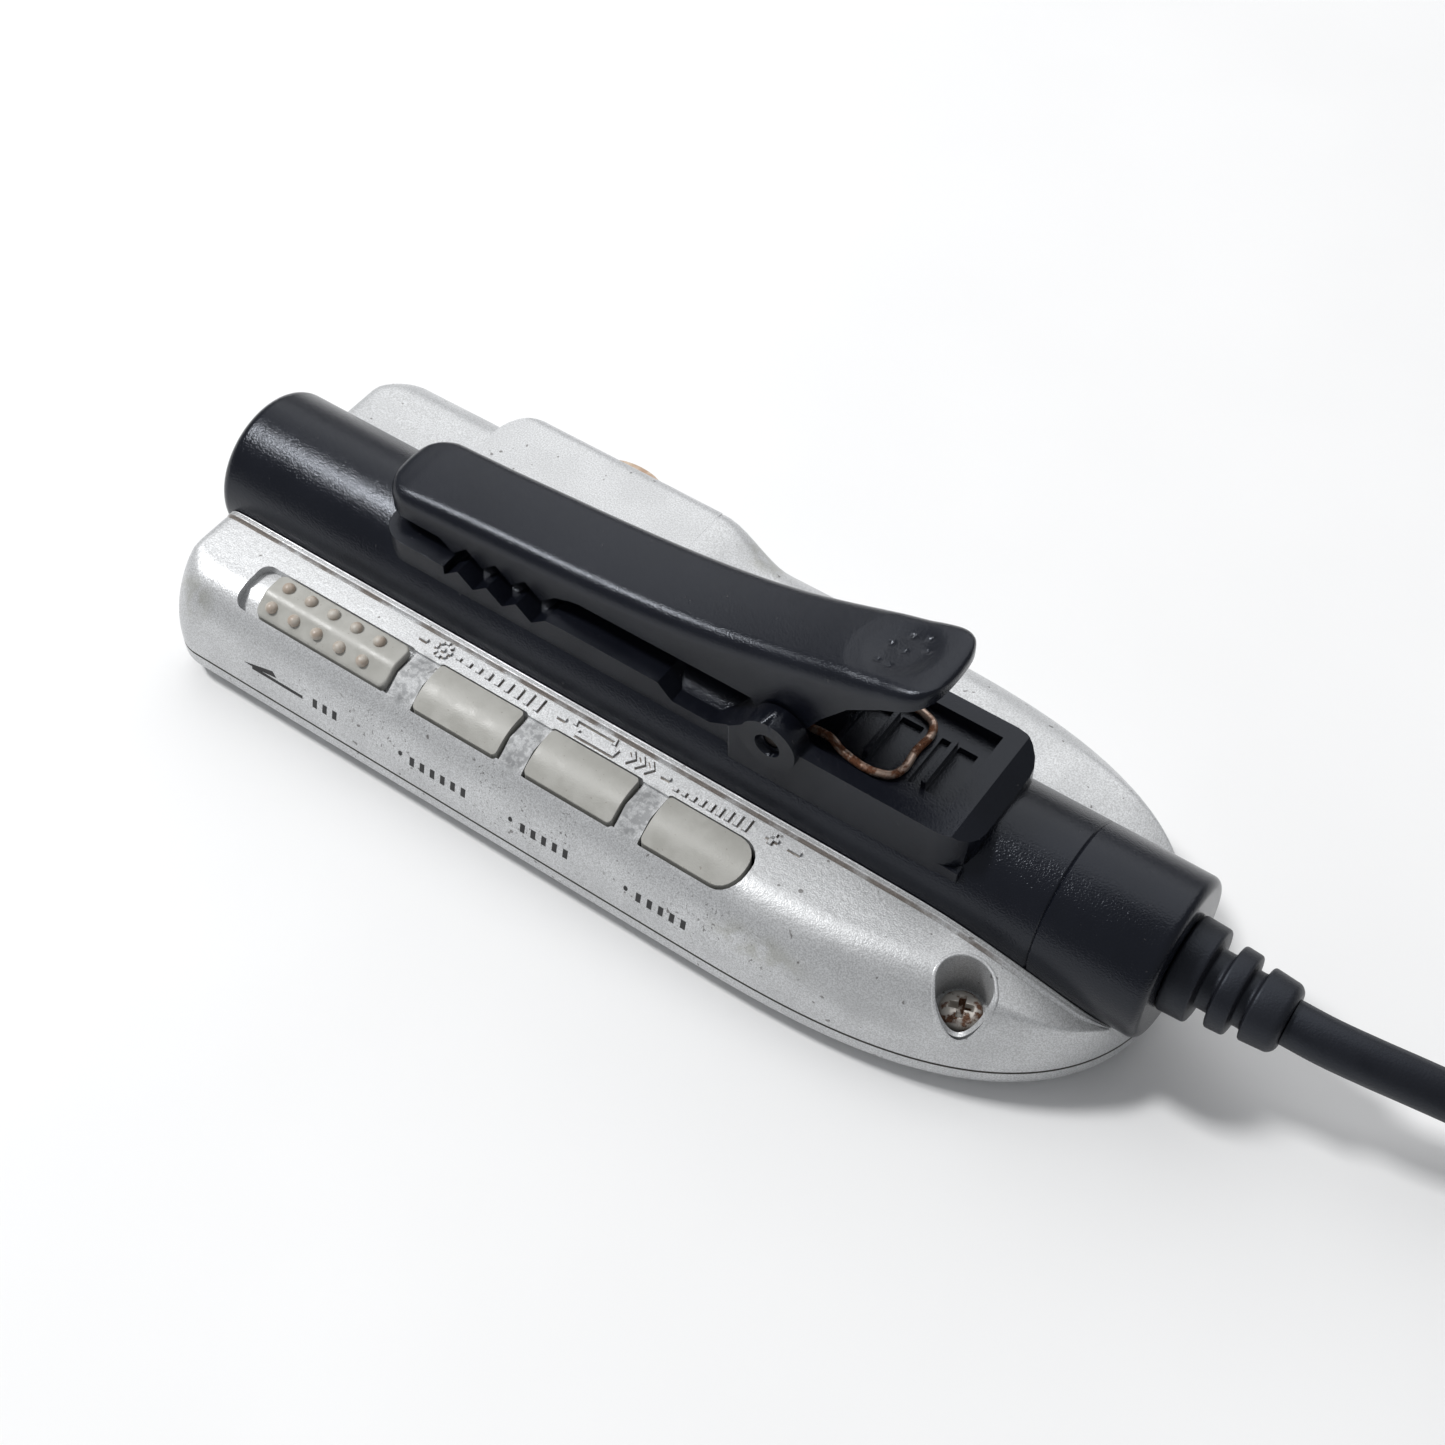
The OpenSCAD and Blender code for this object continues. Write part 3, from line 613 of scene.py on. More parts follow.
PLUG_AT = [(TAIL_ROUTE[-1][i] - AXIS[i]) / MM for i in range(3)]
ALONG_Y = Matrix.Rotation(math.radians(90), 3, "Z")


def make_plug():
    body = lathe("plug_body", [
        (0, 0), (1.75, 0), (2.05, 0.3), (2.2, 1.5), (2.0, 1.7), (2.0, 2.2), (2.35, 2.4), (2.45, 3.4),
        (2.2, 3.6), (2.2, 4.1), (2.55, 4.3), (2.65, 5.6), (2.9, 6), (3.4, 6.15), (3.7, 6.6), (3.75, 7.4),
        (3.75, 9.0), (3.68, 9.2), (3.75, 9.4), (3.68, 9.9), (3.75, 10.1), (3.68, 10.6), (3.75, 10.8),
        (3.75, 18.6), (3.6, 19.5), (3.15, 20), (0, 20)], centre=PLUG_AT, turn=ALONG_Y)
    tip = lathe("plug_tip", [
        (0, 20), (2.6, 20), (2.6, 20.6), (1.75, 20.7), (1.75, 26.2), (1.68, 26.25), (1.68, 27), (1.75, 27.05),
        (1.75, 30.2), (1.68, 30.25), (1.68, 31), (1.75, 31.05), (1.65, 31.4), (1.2, 32), (1.32, 32.4),
        (1.55, 32.7), (1.35, 33.1), (0.8, 33.7), (0.35, 33.95), (0, 34)], n=64, centre=PLUG_AT, turn=ALONG_Y)
    return put(body, PLUG), put(tip, GOLD)


def make_tie():
    """A hook and loop strap round the coil's section, its end lapped over itself."""
    r_in, r_out = (COIL_R_IN - CORD_D / 2) / MM - 0.3, (COIL_R_OUT + CORD_D / 2) / MM + 0.2
    z_low, z_high = 0.0, (COIL_Z[1] + CORD_D / 2) / MM + 0.1
    outer = rounded_rect(r_in - TIE_T, r_out + 0.3, z_low, z_high + TIE_T, 1.4, 1.4, 8)
    inner = rounded_rect(r_in, r_out - 0.2, z_low + TIE_T, z_high, 1.0, 1.0, 8)
    lap = rounded_rect(r_in + 3, r_out - 1, z_high + TIE_T, z_high + TIE_T + 0.35, 0.15, 0.15, 2)
    turn = Matrix.Rotation(math.radians(TIE_ANGLE), 4, "Z")
    centre = Vector(((COIL_AT[0] - AXIS.x) / MM, (COIL_AT[1] - AXIS.y) / MM, -AXIS.z / MM))
    rings = []
    for outline, y in ((outer, -2.5), (outer, 2.5), (inner, 2.5), (inner, -2.5)):
        rings.append([centre + turn @ Vector((p[0], y, p[1])) for p in outline])
    n = len(outer)
    faces = grid_faces(4, n, close_columns=True)
    faces += [(3 * n + j, 3 * n + (j + 1) % n, (j + 1) % n, j) for j in range(n)]
    band = make("cord_tie", [p for ring in rings for p in ring], faces)
    tab = tube_rings("tie_end", [
        [centre + turn @ Vector((p[0], y, p[1])) for p in lap] for y in (-2.3, 2.3)])
    return put(bevel(join(band, tab), 0.12, 2), FABRIC)


# ------------------------------------------------------------------ casing

RIM = [(-1.0, 0), (-0.80, 0), (-0.72, -0.10), (-0.62, -0.13), (-0.53, -0.06), (-0.46, 0.05), (-0.36, 0.07),
       (-0.28, 0.04), (-0.23, -0.05), (-0.18, -0.05), (-0.14, 0.03), (-0.08, 0.04), (-0.02, 0.0), (0, -0.06)]
NEAR_COLUMNS = 34
TROUGH_COLUMNS = 24


def width_at(x, full, left, d):
    """Distance from the barrel's axis to the casing's side at x, drawn in by d."""
    corner_x = CASING_X0 + CORNER_R
    if x < corner_x:
        r = CORNER_R - d
        return left - CORNER_R + math.sqrt(max(r * r - (x - corner_x) ** 2, 0))
    if x < NOSE_X:
        return mix(left, full, (x - corner_x) / (NOSE_X - corner_x)) - d
    s = min((x - NOSE_X) / (TIP_X - NOSE_X - d), 1)
    return (full - d) * (1 - s ** 3) ** 0.48


def ridge_height(x, d):
    """The rear half's height as its side view limits it: rounded at the left end and down to the nose."""
    left_x, left_r = CASING_X0 + 1.6, 1.6 - d
    if x < left_x:
        return -0.9 + math.sqrt(max(left_r ** 2 - (x - left_x) ** 2, 0))
    if x > 19.5:
        t = min((x - 19.5) / (TIP_X + 0.5 - 19.5 - d), 1)
        return PARTING + (7.2 - d) * math.sqrt(1 - t * t)
    return 0.7 - d + min(x - left_x, 19.5 - x) * 0.5


def eased_step(t):
    t = min(max(t, 0), 1)
    return t * t * (3 - 2 * t)


def cover_ramp(x):
    """One at the jog cover's right end, falling to zero towards the nose."""
    return 0 if x < COVER[1] - 0.6 else 1 - eased_step((x - COVER[1]) / 6.5)


def top_height(x, y, w, d, side):
    """Height of the rear half's outside at x, y; side is -1 for the keys' side and 1 for the far one."""
    slope, foot, rx = (0.095, -6.0, 4.5) if side < 0 else (0.058, -4.4, 3.7)
    if side > 0:
        rx = mix(rx, 1.7, cover_ramp(x))
    rx -= d
    away = abs(y)
    edge = max(w - rx, 0)
    shoulder = 0.6 - d - (min(away, edge) - 6) * slope
    if side > 0:
        ramp = cover_ramp(x)
        shoulder += ramp * eased_step((away - COVER[2] + 0.2) / 1.6) * (COVER_TOP - d - shoulder)
        foot = mix(foot, 0.0, ramp)
    z = shoulder
    if away > edge:
        u = min((away - edge) / rx, 1)
        z = shoulder - (shoulder - foot) * (1 - math.sqrt(1 - u * u))
    return smooth_min(z, ridge_height(x, d), 0.35)


def side_points(x, d, side):
    """Points across one side of the rear half at x, from its border in to the edge of the trough."""
    r = TROUGH_R + (0.8 if d else 0)
    w = width_at(x, NEAR_W if side < 0 else FAR_W, NEAR_W if side < 0 else FAR_LEFT_W, d)
    edge = r
    for _ in range(6):
        z = min(top_height(x, side * edge, w, d, side), 0)
        edge = math.sqrt(max(r * r - z * z, 0))
    edge = min(edge, w)
    rim = min(1.0, 0.4 * (w - edge))
    points = []
    for t in steps(0, 1, NEAR_COLUMNS)[:-1]:
        y = w - (w - edge - rim) * t * t
        points.append((x, side * y, top_height(x, side * y, w, d, side)))
    for offset, dz in RIM:
        y = edge - offset * rim
        lift = 0 if d else dz * rim
        points.append((x, side * y, top_height(x, side * y, w, d, side) + lift))
    return points, min(edge / r, 1)


def shell_row(x, d):
    near, near_edge = side_points(x, d, -1)
    far, far_edge = side_points(x, d, 1)
    r = TROUGH_R + (0.8 if d else 0)
    a0, a1 = -math.asin(near_edge), math.asin(far_edge)
    trough = []
    for a in steps(a0, a1, TROUGH_COLUMNS):
        z = -r * math.cos(a)
        trough.append((x, r * math.sin(a), max(z, PARTING + 0.02) if d else z))
    floor_z = PARTING + (0.02 if d else 0.3)
    row = near + trough + far[::-1]
    return [(p[0], p[1], max(p[2], floor_z)) for p in row]


def shell_stations(d):
    left = [CASING_X0 + CORNER_R - (CORNER_R - d) * math.cos(math.radians(a)) for a in steps(0, 90, 14)]
    middle = steps(CASING_X0 + CORNER_R, NOSE_X, 56)[1:-1]
    nose = [NOSE_X + (TIP_X - NOSE_X - d) * math.sin(math.radians(a)) for a in steps(0, 90, 52)]
    return left + middle + nose


def border_of(rows):
    """The grid's border as row and column pairs: along the keys' side, back along the far one, and round."""
    last = len(rows[0]) - 1
    near = [(i, 0) for i in range(len(rows))]
    far = [(i, last) for i in range(len(rows) - 1, -1, -1)]
    return near + far + [(0, j) for j in range(last - 1, 0, -1)]


def make_rear_body():
    outer = [shell_row(x, 0) for x in shell_stations(0)]
    inner = [shell_row(x, WALL) for x in shell_stations(WALL)]
    rows, columns = len(outer), len(outer[0])
    points = [p for row in outer for p in row] + [p for row in inner for p in row]
    faces = grid_faces(rows, columns) + grid_faces(rows, columns, start=rows * columns)
    loop = border_of(outer)
    rings = [[i * columns + j for i, j in loop]]
    chamfer = 0.09
    for depth, inset in ((chamfer, 0), (0, chamfer)):
        ring = []
        for i, j in loop:
            a, b = Vector(outer[i][j]), Vector(inner[i][j])
            across = Vector((b.x - a.x, b.y - a.y, 0))
            p = a + across.normalized() * inset if across.length > 1e-6 else a
            ring.append(len(points))
            points.append((p.x, p.y, PARTING + depth))
        rings.append(ring)
    ring = []
    for i, j in loop:
        ring.append(len(points))
        points.append((inner[i][j][0], inner[i][j][1], PARTING))
    rings.append(ring)
    rings.append([rows * columns + i * columns + j for i, j in loop])
    n = len(loop)
    for a, b in zip(rings, rings[1:]):
        faces += [(a[k], a[(k + 1) % n], b[(k + 1) % n], b[k]) for k in range(n)]
    return make("rear_shell", points, faces, sharp=50)


def shoulder(rise):
    """The section that keys and pockets follow, as [y, z] from the barrel outwards."""
    return [(-7.5, 0.2 + rise), (KEY_Y[1], 0.2 + rise), (RIDGE_Y, 0.16 + rise), (KEY_Y[0], rise - 0.98),
            (-13.2, rise - 1.6)]


def key_plan(x0, length, r_right, gap):
    return rounded_rect(x0 - gap, x0 + length + gap, KEY_Y[0] - gap, KEY_Y[1] + gap, 0.35, r_right)


def rear_cutters():
    gap = 0.22
    cutters = [
        extrude("cut", key_plan(x, KEY_L, 1.8 if x == KEY_X[2] else 0.35, gap), -4, 2, "z") for x in KEY_X
    ]
    pocket = extrude("cut", rounded_rect(KNOB_X[0] - HOLD_TRAVEL - 0.15, KNOB_X[1] + 0.15, KEY_Y[0] - 0.1,
                                         KEY_Y[1] + 0.15, 0.9, 0.4), -3, 2, "z")
    section = extrude("cut", [(-7.5, 3)] + shoulder(-0.55) + [(-13.2, 3)], -40, 0, "x")
    cutters.append(combine(pocket, section, how="INTERSECT"))
    # The bridges between the keys lie a little lower than the shell
    for x0, x1 in ((KNOB_X[1] + 0.3, KEY_X[0] - 0.3), (KEY_X[0] + KEY_L + 0.3, KEY_X[1] - 0.3),
                   (KEY_X[1] + KEY_L + 0.3, KEY_X[2] - 0.3)):
        bridge = extrude("cut", rounded_rect(x0 - 0.3, x1 + 0.3, KEY_Y[0] - 0.05, KEY_Y[1] + 0.05, 0.02, 0.02),
                         -3, 2, "z")
        level = extrude("cut", [(-7.5, 3)] + shoulder(-0.12) + [(-13.2, 3)], -40, 20, "x")
        cutters.append(combine(bridge, level, how="INTERSECT"))
    corner = (COVER[0] + COVER_CORNER_R, FAR_W - 0.1 - COVER_CORNER_R)
    seat = [(COVER[1], 20), (corner[0], 20)] + arc(corner, COVER_CORNER_R, COVER_CORNER_R, 90, 180, 8)
    cutters.append(extrude("cut", seat + [(COVER[0], COVER[2]), (COVER[1], COVER[2])], -3.6, 3, "z"))
    well = arc(SCREW, SCREW_WELL_R, SCREW_WELL_R, 35, 215, 24)
    well += arc(WELL_END, SCREW_WELL_R, SCREW_WELL_R, 215, 395, 24)
    cutters.append(extrude("cut", well, SCREW_FLOOR, 4, "z"))
    return cutters


def make_front_body():
    """Nested outlines: down the side, round the lower edge and in to the flat display face."""
    stations = shell_stations(0)
    near = [(x, -width_at(x, NEAR_W, NEAR_W, 0)) for x in stations]
    far = [(x, width_at(x, FAR_W, FAR_LEFT_W, 0)) for x in stations]
    outline = near + far[-2:0:-1]
    outline.append(far[0])
    n = len(outline)
    inward = []
    for k in range(n):
        a, b = Vector(outline[k - 1]), Vector(outline[(k + 1) % n])
        t = (b - a).normalized()
        inward.append(Vector((-t.y, t.x)))
    round_r, edge_z = 3.0, -7.3
    depth = edge_z - TABLE
    levels = [(WALL, PARTING), (0.09, PARTING), (0, PARTING - 0.09), (0, edge_z)]
    levels += [
        (round_r * (1 - math.cos(math.radians(a))), edge_z - depth * math.sin(math.radians(a)))
        for a in steps(7.5, 90, 11)
    ]
    rings = [
        [(p[0] + v.x * inset, p[1] + v.y * inset, z) for p, v in zip(outline, inward)] for inset, z in levels
    ]
    floor_in = [[(p[0] + v.x * 3.4, p[1] + v.y * 3.4, TABLE + WALL) for p, v in zip(outline, inward)]]
    wall_in = [[(p[0] + v.x * WALL, p[1] + v.y * WALL, edge_z + 0.4) for p, v in zip(outline, inward)]]
    return tube_rings("front_shell", floor_in + wall_in + rings, sharp=50)


WINDOW_X, WINDOW_Y, WINDOW_T = 20.5, 7.7, 0.7


def make_front_shell():
    body = make_front_body()
    seat = extrude("cut", rounded_rect(-WINDOW_X, WINDOW_X, -WINDOW_Y, WINDOW_Y, 2, 2), TABLE - 1,
                   TABLE + WINDOW_T, "z")
    opening = extrude("cut", rounded_rect(1.2 - WINDOW_X, WINDOW_X - 1.2, 1.2 - WINDOW_Y, WINDOW_Y - 1.2, 1, 1),
                      TABLE - 1, -7, "z")
    return put(combine(body, seat, opening), SILVER)


def make_window():
    plate = extrude("display_window", rounded_rect(
        0.05 - WINDOW_X, WINDOW_X - 0.05, 0.05 - WINDOW_Y, WINDOW_Y - 0.05, 2, 2, 10), TABLE,
        TABLE + WINDOW_T, "z")
    return put(bevel(plate, 0.12), WINDOW)


# ------------------------------------------------------------------ raised and printed symbols


def surface_z(x, y):
    return top_height(x, y, width_at(x, NEAR_W, NEAR_W, 0), 0, -1)


def raised(outline, height=0.2):
    """A low raised shape on the shell's shoulder from a plan outline."""
    low = [(x, y, surface_z(x, y) - 0.1) for x, y in outline]
    high = [(x, y, surface_z(x, y) + height) for x, y in outline]
    return tube_rings("raised", [low, high])


def stroke(points, width):
    """The outline of a line of that width through plan points, with square ends."""
    left, right = [], []
    for i, p in enumerate(points):
        a, b = Vector(points[max(i - 1, 0)]), Vector(points[min(i + 1, len(points) - 1)])
        t = (b - a).normalized()
        v = Vector((-t.y, t.x)) * width / 2
        left.append(tuple(Vector(p) + v))
        right.append(tuple(Vector(p) - v))
    return left + right[::-1]


def signs():
    """Plain signs in the strip by the keys: a lamp with graded bars, a loop, and rising bars."""
    y = -7.62
    shapes = [[(x, y), (x + 0.75, y)] for x in (-18.4, -5.7, 3.4)]
    for a in range(0, 360, 45):
        c, s = math.cos(math.radians(a)), math.sin(math.radians(a))
        shapes.append([(-16.2 + 0.48 * c, y + 0.48 * s), (-16.2 + 0.75 * c, y + 0.75 * s)])
    shapes.append([(-16.35, y), (-16.05, y)])
    for k in range(9):
        size = 0.15 + 0.055 * k
        shapes.append([(-14.7 + 0.92 * k, y - size), (-14.7 + 0.92 * k, y + size)])
    shapes += [[(-4.2, y), (-4.2, y + 0.55), (-0.9, y + 0.55), (-0.9, y + 0.15)],
               [(-0.4, y), (-0.4, y - 0.55), (-3.7, y - 0.55), (-3.7, y - 0.15)]]
    for k in range(3):
        shapes.append([(0.55 + 0.8 * k, y - 0.5), (1.0 + 0.8 * k, y), (0.55 + 0.8 * k, y + 0.5)])
    for k in range(9):
        shapes.append([(4.9 + 0.72 * k, y - 0.58), (4.9 + 0.72 * k, y - 0.3 + 0.1 * k)])
    shapes += [[(12.2, y), (13.2, y)], [(12.7, y - 0.5), (12.7, y + 0.5)], [(14.0, y), (15.0, y)]]
    return shapes


def symbols():
    """The signs as a raised moulding."""
    return put(join(*[raised(stroke(line, 0.27)) for line in signs()]), SILVER)


def sign_dirt_and_shade():
    """A thin film of dirt round the raised signs, which also paints the shade at their bases."""
    return put(join(*[raised(stroke(line, 0.46), 0.014) for line in signs()]), SIGN_DIRT_AND_SHADE)


def side_point(x, drop, lift):
    """A point on the near side, drop below the level where the side is steepest, lifted off the surface."""
    w = width_at(x, NEAR_W, NEAR_W, 0)
    edge, foot = w - 4.5, -6.0
    top = 0.6 - (edge - 6) * 0.095
    a = math.radians(drop)
    y = -(edge + 4.5 * math.sin(a))
    z = foot + (top - foot) * math.cos(a)
    normal = Vector((0, -math.sin(a) / 4.5, math.cos(a) / (top - foot))).normalized()
    return tuple(Vector((x, y, z)) + normal * lift)


def printed(points, thick=0.012):
    """A thin print on the near side: an outline as x and the ellipse angle."""
    low = [side_point(x, a, -0.05) for x, a in points]
    high = [side_point(x, a, thick) for x, a in points]
    return tube_rings("printed", [low, high])


def prints():
    """An arrow below the slider and a plain dot and bars below each key."""
    shapes = [
        [(-30.4, 70.5), (-27.6, 64.5), (-27.2, 68.3), (-29.2, 70.8)],
        stroke([(-29.6, 71.6), (-24.6, 71.6)], 2.6),
    ]
    for x, bars in ((KNOB_X[0] + 6, 3), (KEY_X[0], 6), (KEY_X[1], 5), (KEY_X[2], 5)):
        if bars > 3:
            shapes.append(arc((x + 0.2, 69), 0.18, 2.1, 0, 330, 11))
        for k in range(bars):
            left = x + 1.1 + 0.95 * k
            shapes.append([(left, 67), (left + 0.42, 67), (left + 0.42, 74.5), (left, 74.5)])
    parts = [printed(shape) for shape in shapes]
    return put(join(*parts), INK)


def make_recess_lip():
    """The thin raised ring round the case screw's recess."""
    rings = []
    for a in range(0, 360, 6):
        c, s = math.cos(math.radians(a)), math.sin(math.radians(a))
        ring = []
        for b in range(0, 360, 45):
            r = SCREW_WELL_R + 0.12 + 0.14 * math.cos(math.radians(b))
            low = eased_step(0.5 + 3 * math.cos(math.radians(a + 55)))
            x, y = mix(SCREW[0], WELL_END[0], low) + r * c, mix(SCREW[1], WELL_END[1], low) + r * s
            ring.append((x, y, surface_z(x, y) - 0.02 + 0.1 * math.sin(math.radians(b))))
        rings.append(ring)
    n = len(rings[0])
    faces = grid_faces(len(rings), n, close_columns=True)
    last = (len(rings) - 1) * n
    faces += [(last + j, last + (j + 1) % n, (j + 1) % n, j) for j in range(n)]
    return make("lip", [p for ring in rings for p in ring], faces)


def screw_post():
    """The hollow post that the case screw goes down, its top just under the shell's skin."""
    rings = []
    for a in range(0, 360, 6):
        c, s = math.cos(math.radians(a)), math.sin(math.radians(a))
        skin = surface_z(SCREW[0] + 2.3 * c, SCREW[1] + 2.3 * s)
        walls = [(SCREW_BORE_R, PARTING), (SCREW_BORE_R, SCREW_FLOOR), (SCREW_WELL_R, SCREW_FLOOR),
                 (SCREW_WELL_R, skin - 0.3), (2.25, skin - 0.4), (2.35, PARTING)]
        rings.append([(SCREW[0] + r * c, SCREW[1] + r * s, z) for r, z in walls])
    n = len(rings[0])
    faces = grid_faces(len(rings), n, close_columns=True)
    last = (len(rings) - 1) * n
    faces += [(last + j, last + (j + 1) % n, (j + 1) % n, j) for j in range(n)]
    return make("post", [p for ring in rings for p in ring], faces)


def make_rear_shell():
    body = combine(make_rear_body(), *rear_cutters(), sharp=38)
    body = join(body, screw_post())
    return put(join(body, make_recess_lip()), SILVER)


def make_jog_cover():
    return put(bevel(copy_of("jog_cover"), 0.4, 4, 30), SILVER)


# ------------------------------------------------------------------ keys, slider, lever


def shoulder_bar(rise, depth, ridge_r):
    """A bar along the keys with the shoulder's section, its ridge rounded by ridge_r."""
    top = shoulder(rise)
    a, p, b = (Vector(top[k]) for k in (1, 2, 3))
    start, end = p + (a - p).normalized() * ridge_r, p + (b - p).normalized() * ridge_r
    curve = [tuple((1 - t) ** 2 * start + 2 * t * (1 - t) * p + t * t * end) for t in steps(0, 1, 8)]
    return extrude("bar", [top[0]] + curve + top[3:] + [(-13.2, depth), (-7.5, depth)], -40, 20, "x")


def make_key(index):
    """A key's cap, with the flange and the plunger below it."""
    x0 = KEY_X[index]
    cap = extrude("key", key_plan(x0, KEY_L, 1.7 if index == 2 else 0.35, 0), -2.6, 2, "z")
    cap = bevel(combine(cap, shoulder_bar(0.36, -2.6, 1.3), how="INTERSECT"), 0.2, 4, 32)
    flange = extrude("flange", rounded_rect(x0 - 0.5, x0 + KEY_L + 0.5, KEY_Y[0] + 0.3, KEY_Y[1] - 0.3, 0.1, 0.1),
                     -3.1, -2.6, "z")
    plunger = lathe("plunger", [(0, -4.45), (0.9, -4.45), (0.9, -2.65), (0, -2.65)], n=32,
                    centre=(x0 + KEY_L / 2, (KEY_Y[0] + KEY_Y[1]) / 2, 0), turn=Matrix.Rotation(-math.pi / 2, 3, "Y"))
    return put(join(cap, flange, plunger), KEY)


def make_slider():
    plan = extrude("hold_slider", rounded_rect(KNOB_X[0] + 0.08, KNOB_X[1] - 0.08, KEY_Y[0] + 0.08,
                                               KEY_Y[1] - 0.08, 0.6, 0.6), -3, 2, "z")
    section = combine(shoulder_bar(0.46, -3, 0.45), extrude("cut", [(-6, -4)] + shoulder(-0.4) + [(-14, -4)], -41,
                                                             21, "x"))
    slider = bevel(combine(plan, section, how="INTERSECT"), 0.18, 4, 32)
    middle = (KNOB_X[0] + KNOB_X[1]) / 2
    stem = extrude("stem", rounded_rect(middle - 2, middle + 2, RIDGE_Y - 0.5, RIDGE_Y + 0.9, 0.2, 0.2), -1.6,
                   0, "z")
    return put(join(slider, stem), KEY)


def make_bumps():
    bumps = []
    for i in range(5):
        for x, y, z in ((KNOB_X[0] + 1.5 + 2.2 * i, -9.75, 0.66), (KNOB_X[0] + 1.3 + 2.2 * i, -11.55, 0.12)):
            dome = [(0, -0.3)] + [(0.5 * math.cos(a), 0.42 * math.sin(a)) for a in steps(-0.5, math.pi / 2, 10)]
            bumps.append(lathe("bump", dome, n=24, centre=(x, y, z), turn=Matrix.Rotation(-math.pi / 2, 3, "Y")))
    return put(join(*bumps), BEIGE)


# ------------------------------------------------------------------ barrel


def make_barrel():
    profile = [(3.05, 1.6 - BARREL_X), (3.05, 0.15 - BARREL_X), (3.2, -BARREL_X), (5.0, -BARREL_X)]
    profile += [(5 + math.sin(math.radians(a)), 1 - BARREL_X - math.cos(math.radians(a))) for a in steps(10, 90, 8)]
    profile += [(BARREL_R, SEAM_X - 0.12), (BARREL_R - 0.1, SEAM_X), (4.8, SEAM_X), (4.8, 1.6 - BARREL_X)]
    return put(lathe("barrel", profile, n=128), BARREL)


def make_cap():
    profile = [(3.85, SEAM_X - 3), (4.75, SEAM_X - 3), (4.75, SEAM_X), (BARREL_R - 0.1, SEAM_X),
               (BARREL_R, SEAM_X + 0.12)]
    profile += [(BARREL_R - 0.7 + 0.7 * math.cos(math.radians(a)),
                 BARREL_X - 0.7 + 0.7 * math.sin(math.radians(a))) for a in steps(0, 90, 8)]
    profile += [(2.6, BARREL_X), (2.55, BARREL_X - 0.1), (2.55, BARREL_X - 2.2), (3.85, BARREL_X - 2.2)]
    return put(lathe("barrel_cap", profile, n=128), BARREL)


def make_relief():
    x = BARREL_X
    profile = eased([
        (0, x - 3.6), (3.7, x - 3.6), (3.7, x - 2.2), (2.5, x - 2.2), (2.5, x), (3.5, x + 0.05), (3.42, x + 2.05),
        (2.15, x + 2.15), (2.15, x + 3.15), (3.0, x + 3.25), (2.92, x + 4.6), (2.02, x + 4.7), (2.02, x + 5.4),
        (2.66, x + 5.5), (2.5, x + 7.5), (2.1, x + 7.9), (0, x + 7.9)], 0.22, 3)
    return put(lathe("strain_relief", profile, n=72), CORD)


def make_case_screw():
    x, y, z = SCREW[0], SCREW[1], SCREW_FLOOR
    up = Matrix.Rotation(-math.pi / 2, 3, "Y")
    head = [(0, -4.1), (0.75, -4.1), (0.85, -3.9), (0.85, 0), (1.5, 0), (1.5, 0.45)]
    head += [(1.5 * math.cos(math.radians(a)) ** 0.7, 0.45 + 0.65 * math.sin(math.radians(a)))
             for a in steps(10, 80, 8)] + [(0, 1.1)]
    screw = lathe("case_screw", head, n=64, centre=(x, y, z), turn=up)
    cross = []
    for a in (20, 110):
        turn = Matrix.Rotation(math.radians(a), 4, "Z")
        rings = []
        for h, reach, half in ((0.3, 0.55, 0.2), (1.4, 1.05, 0.27)):
            rings.append([Vector((x, y, z + h)) + turn @ Vector(p) for p in (
                (-reach, -half, 0), (reach, -half, 0), (reach, half, 0), (-reach, half, 0))])
        cross.append(tube_rings("cross", rings))
    return put(bevel(combine(screw, *cross), 0.04, 2), SCREW_STEEL)


# ------------------------------------------------------------------ clip

TOOTH = 2.65
LEVER_X0 = -24.8
LEVER_TOP = [(LEVER_X0, 8.8), (-24.2, 9.05), (-13.5, 9.9), (-8.5, 10.3), (-4.5, 10.7), (-0.5, 11.2),
             (3.5, 11.9), (6.5, 12.6), (10, 13.6), (14, 15), (16.5, 15.9), (18.5, 16.6), (20.9, 17.15), (21.4, 17.2)]


def along(points, x):
    """The height at x of a line through points with rising x."""
    for (x0, z0), (x1, z1) in zip(points, points[1:]):
        if x <= x1:
            return mix(z0, z1, max((x - x0) / (x1 - x0), 0)) if x1 > x0 else z1
    return points[-1][1]


def smoothed(points, x, reach=1.5):
    return sum(along(points, x + reach * s) for s in (-1, -0.5, 0, 0.5, 1)) / 5


def lever_under(x):
    """The lower edge of the lever's side walls."""
    if x < -19.2:
        return 7.0
    if x < -18:
        return mix(7.0, 6.1, (x + 19.2) / 1.2)
    if x < -18 + 3.5 * TOOTH:
        t = ((x + 18) / TOOTH) % 1
        return mix(6.1, 7.3, 1 - abs(2 * t - 1))
    if x < -6.9:
        return mix(7.3, 8.0, (x + 18 - 3.5 * TOOTH) / (18 - 3.5 * TOOTH - 6.9))
    if x < 8.6:
        return mix(8.0, 8.2, (x + 6.9) / 15.5)
    if x < HINGE[0] + 1.45:
        u = min(abs(x - HINGE[0]) / 1.5, 1)
        return HINGE[1] - 1.5 * math.sqrt(1 - u * u)
    return along([(12.15, 7.8), (12.3, 8), (13.6, 10.2), (15.5, 12.6), (18, 14.4), (21.2, 16.1), (21.4, 16.3)], x)


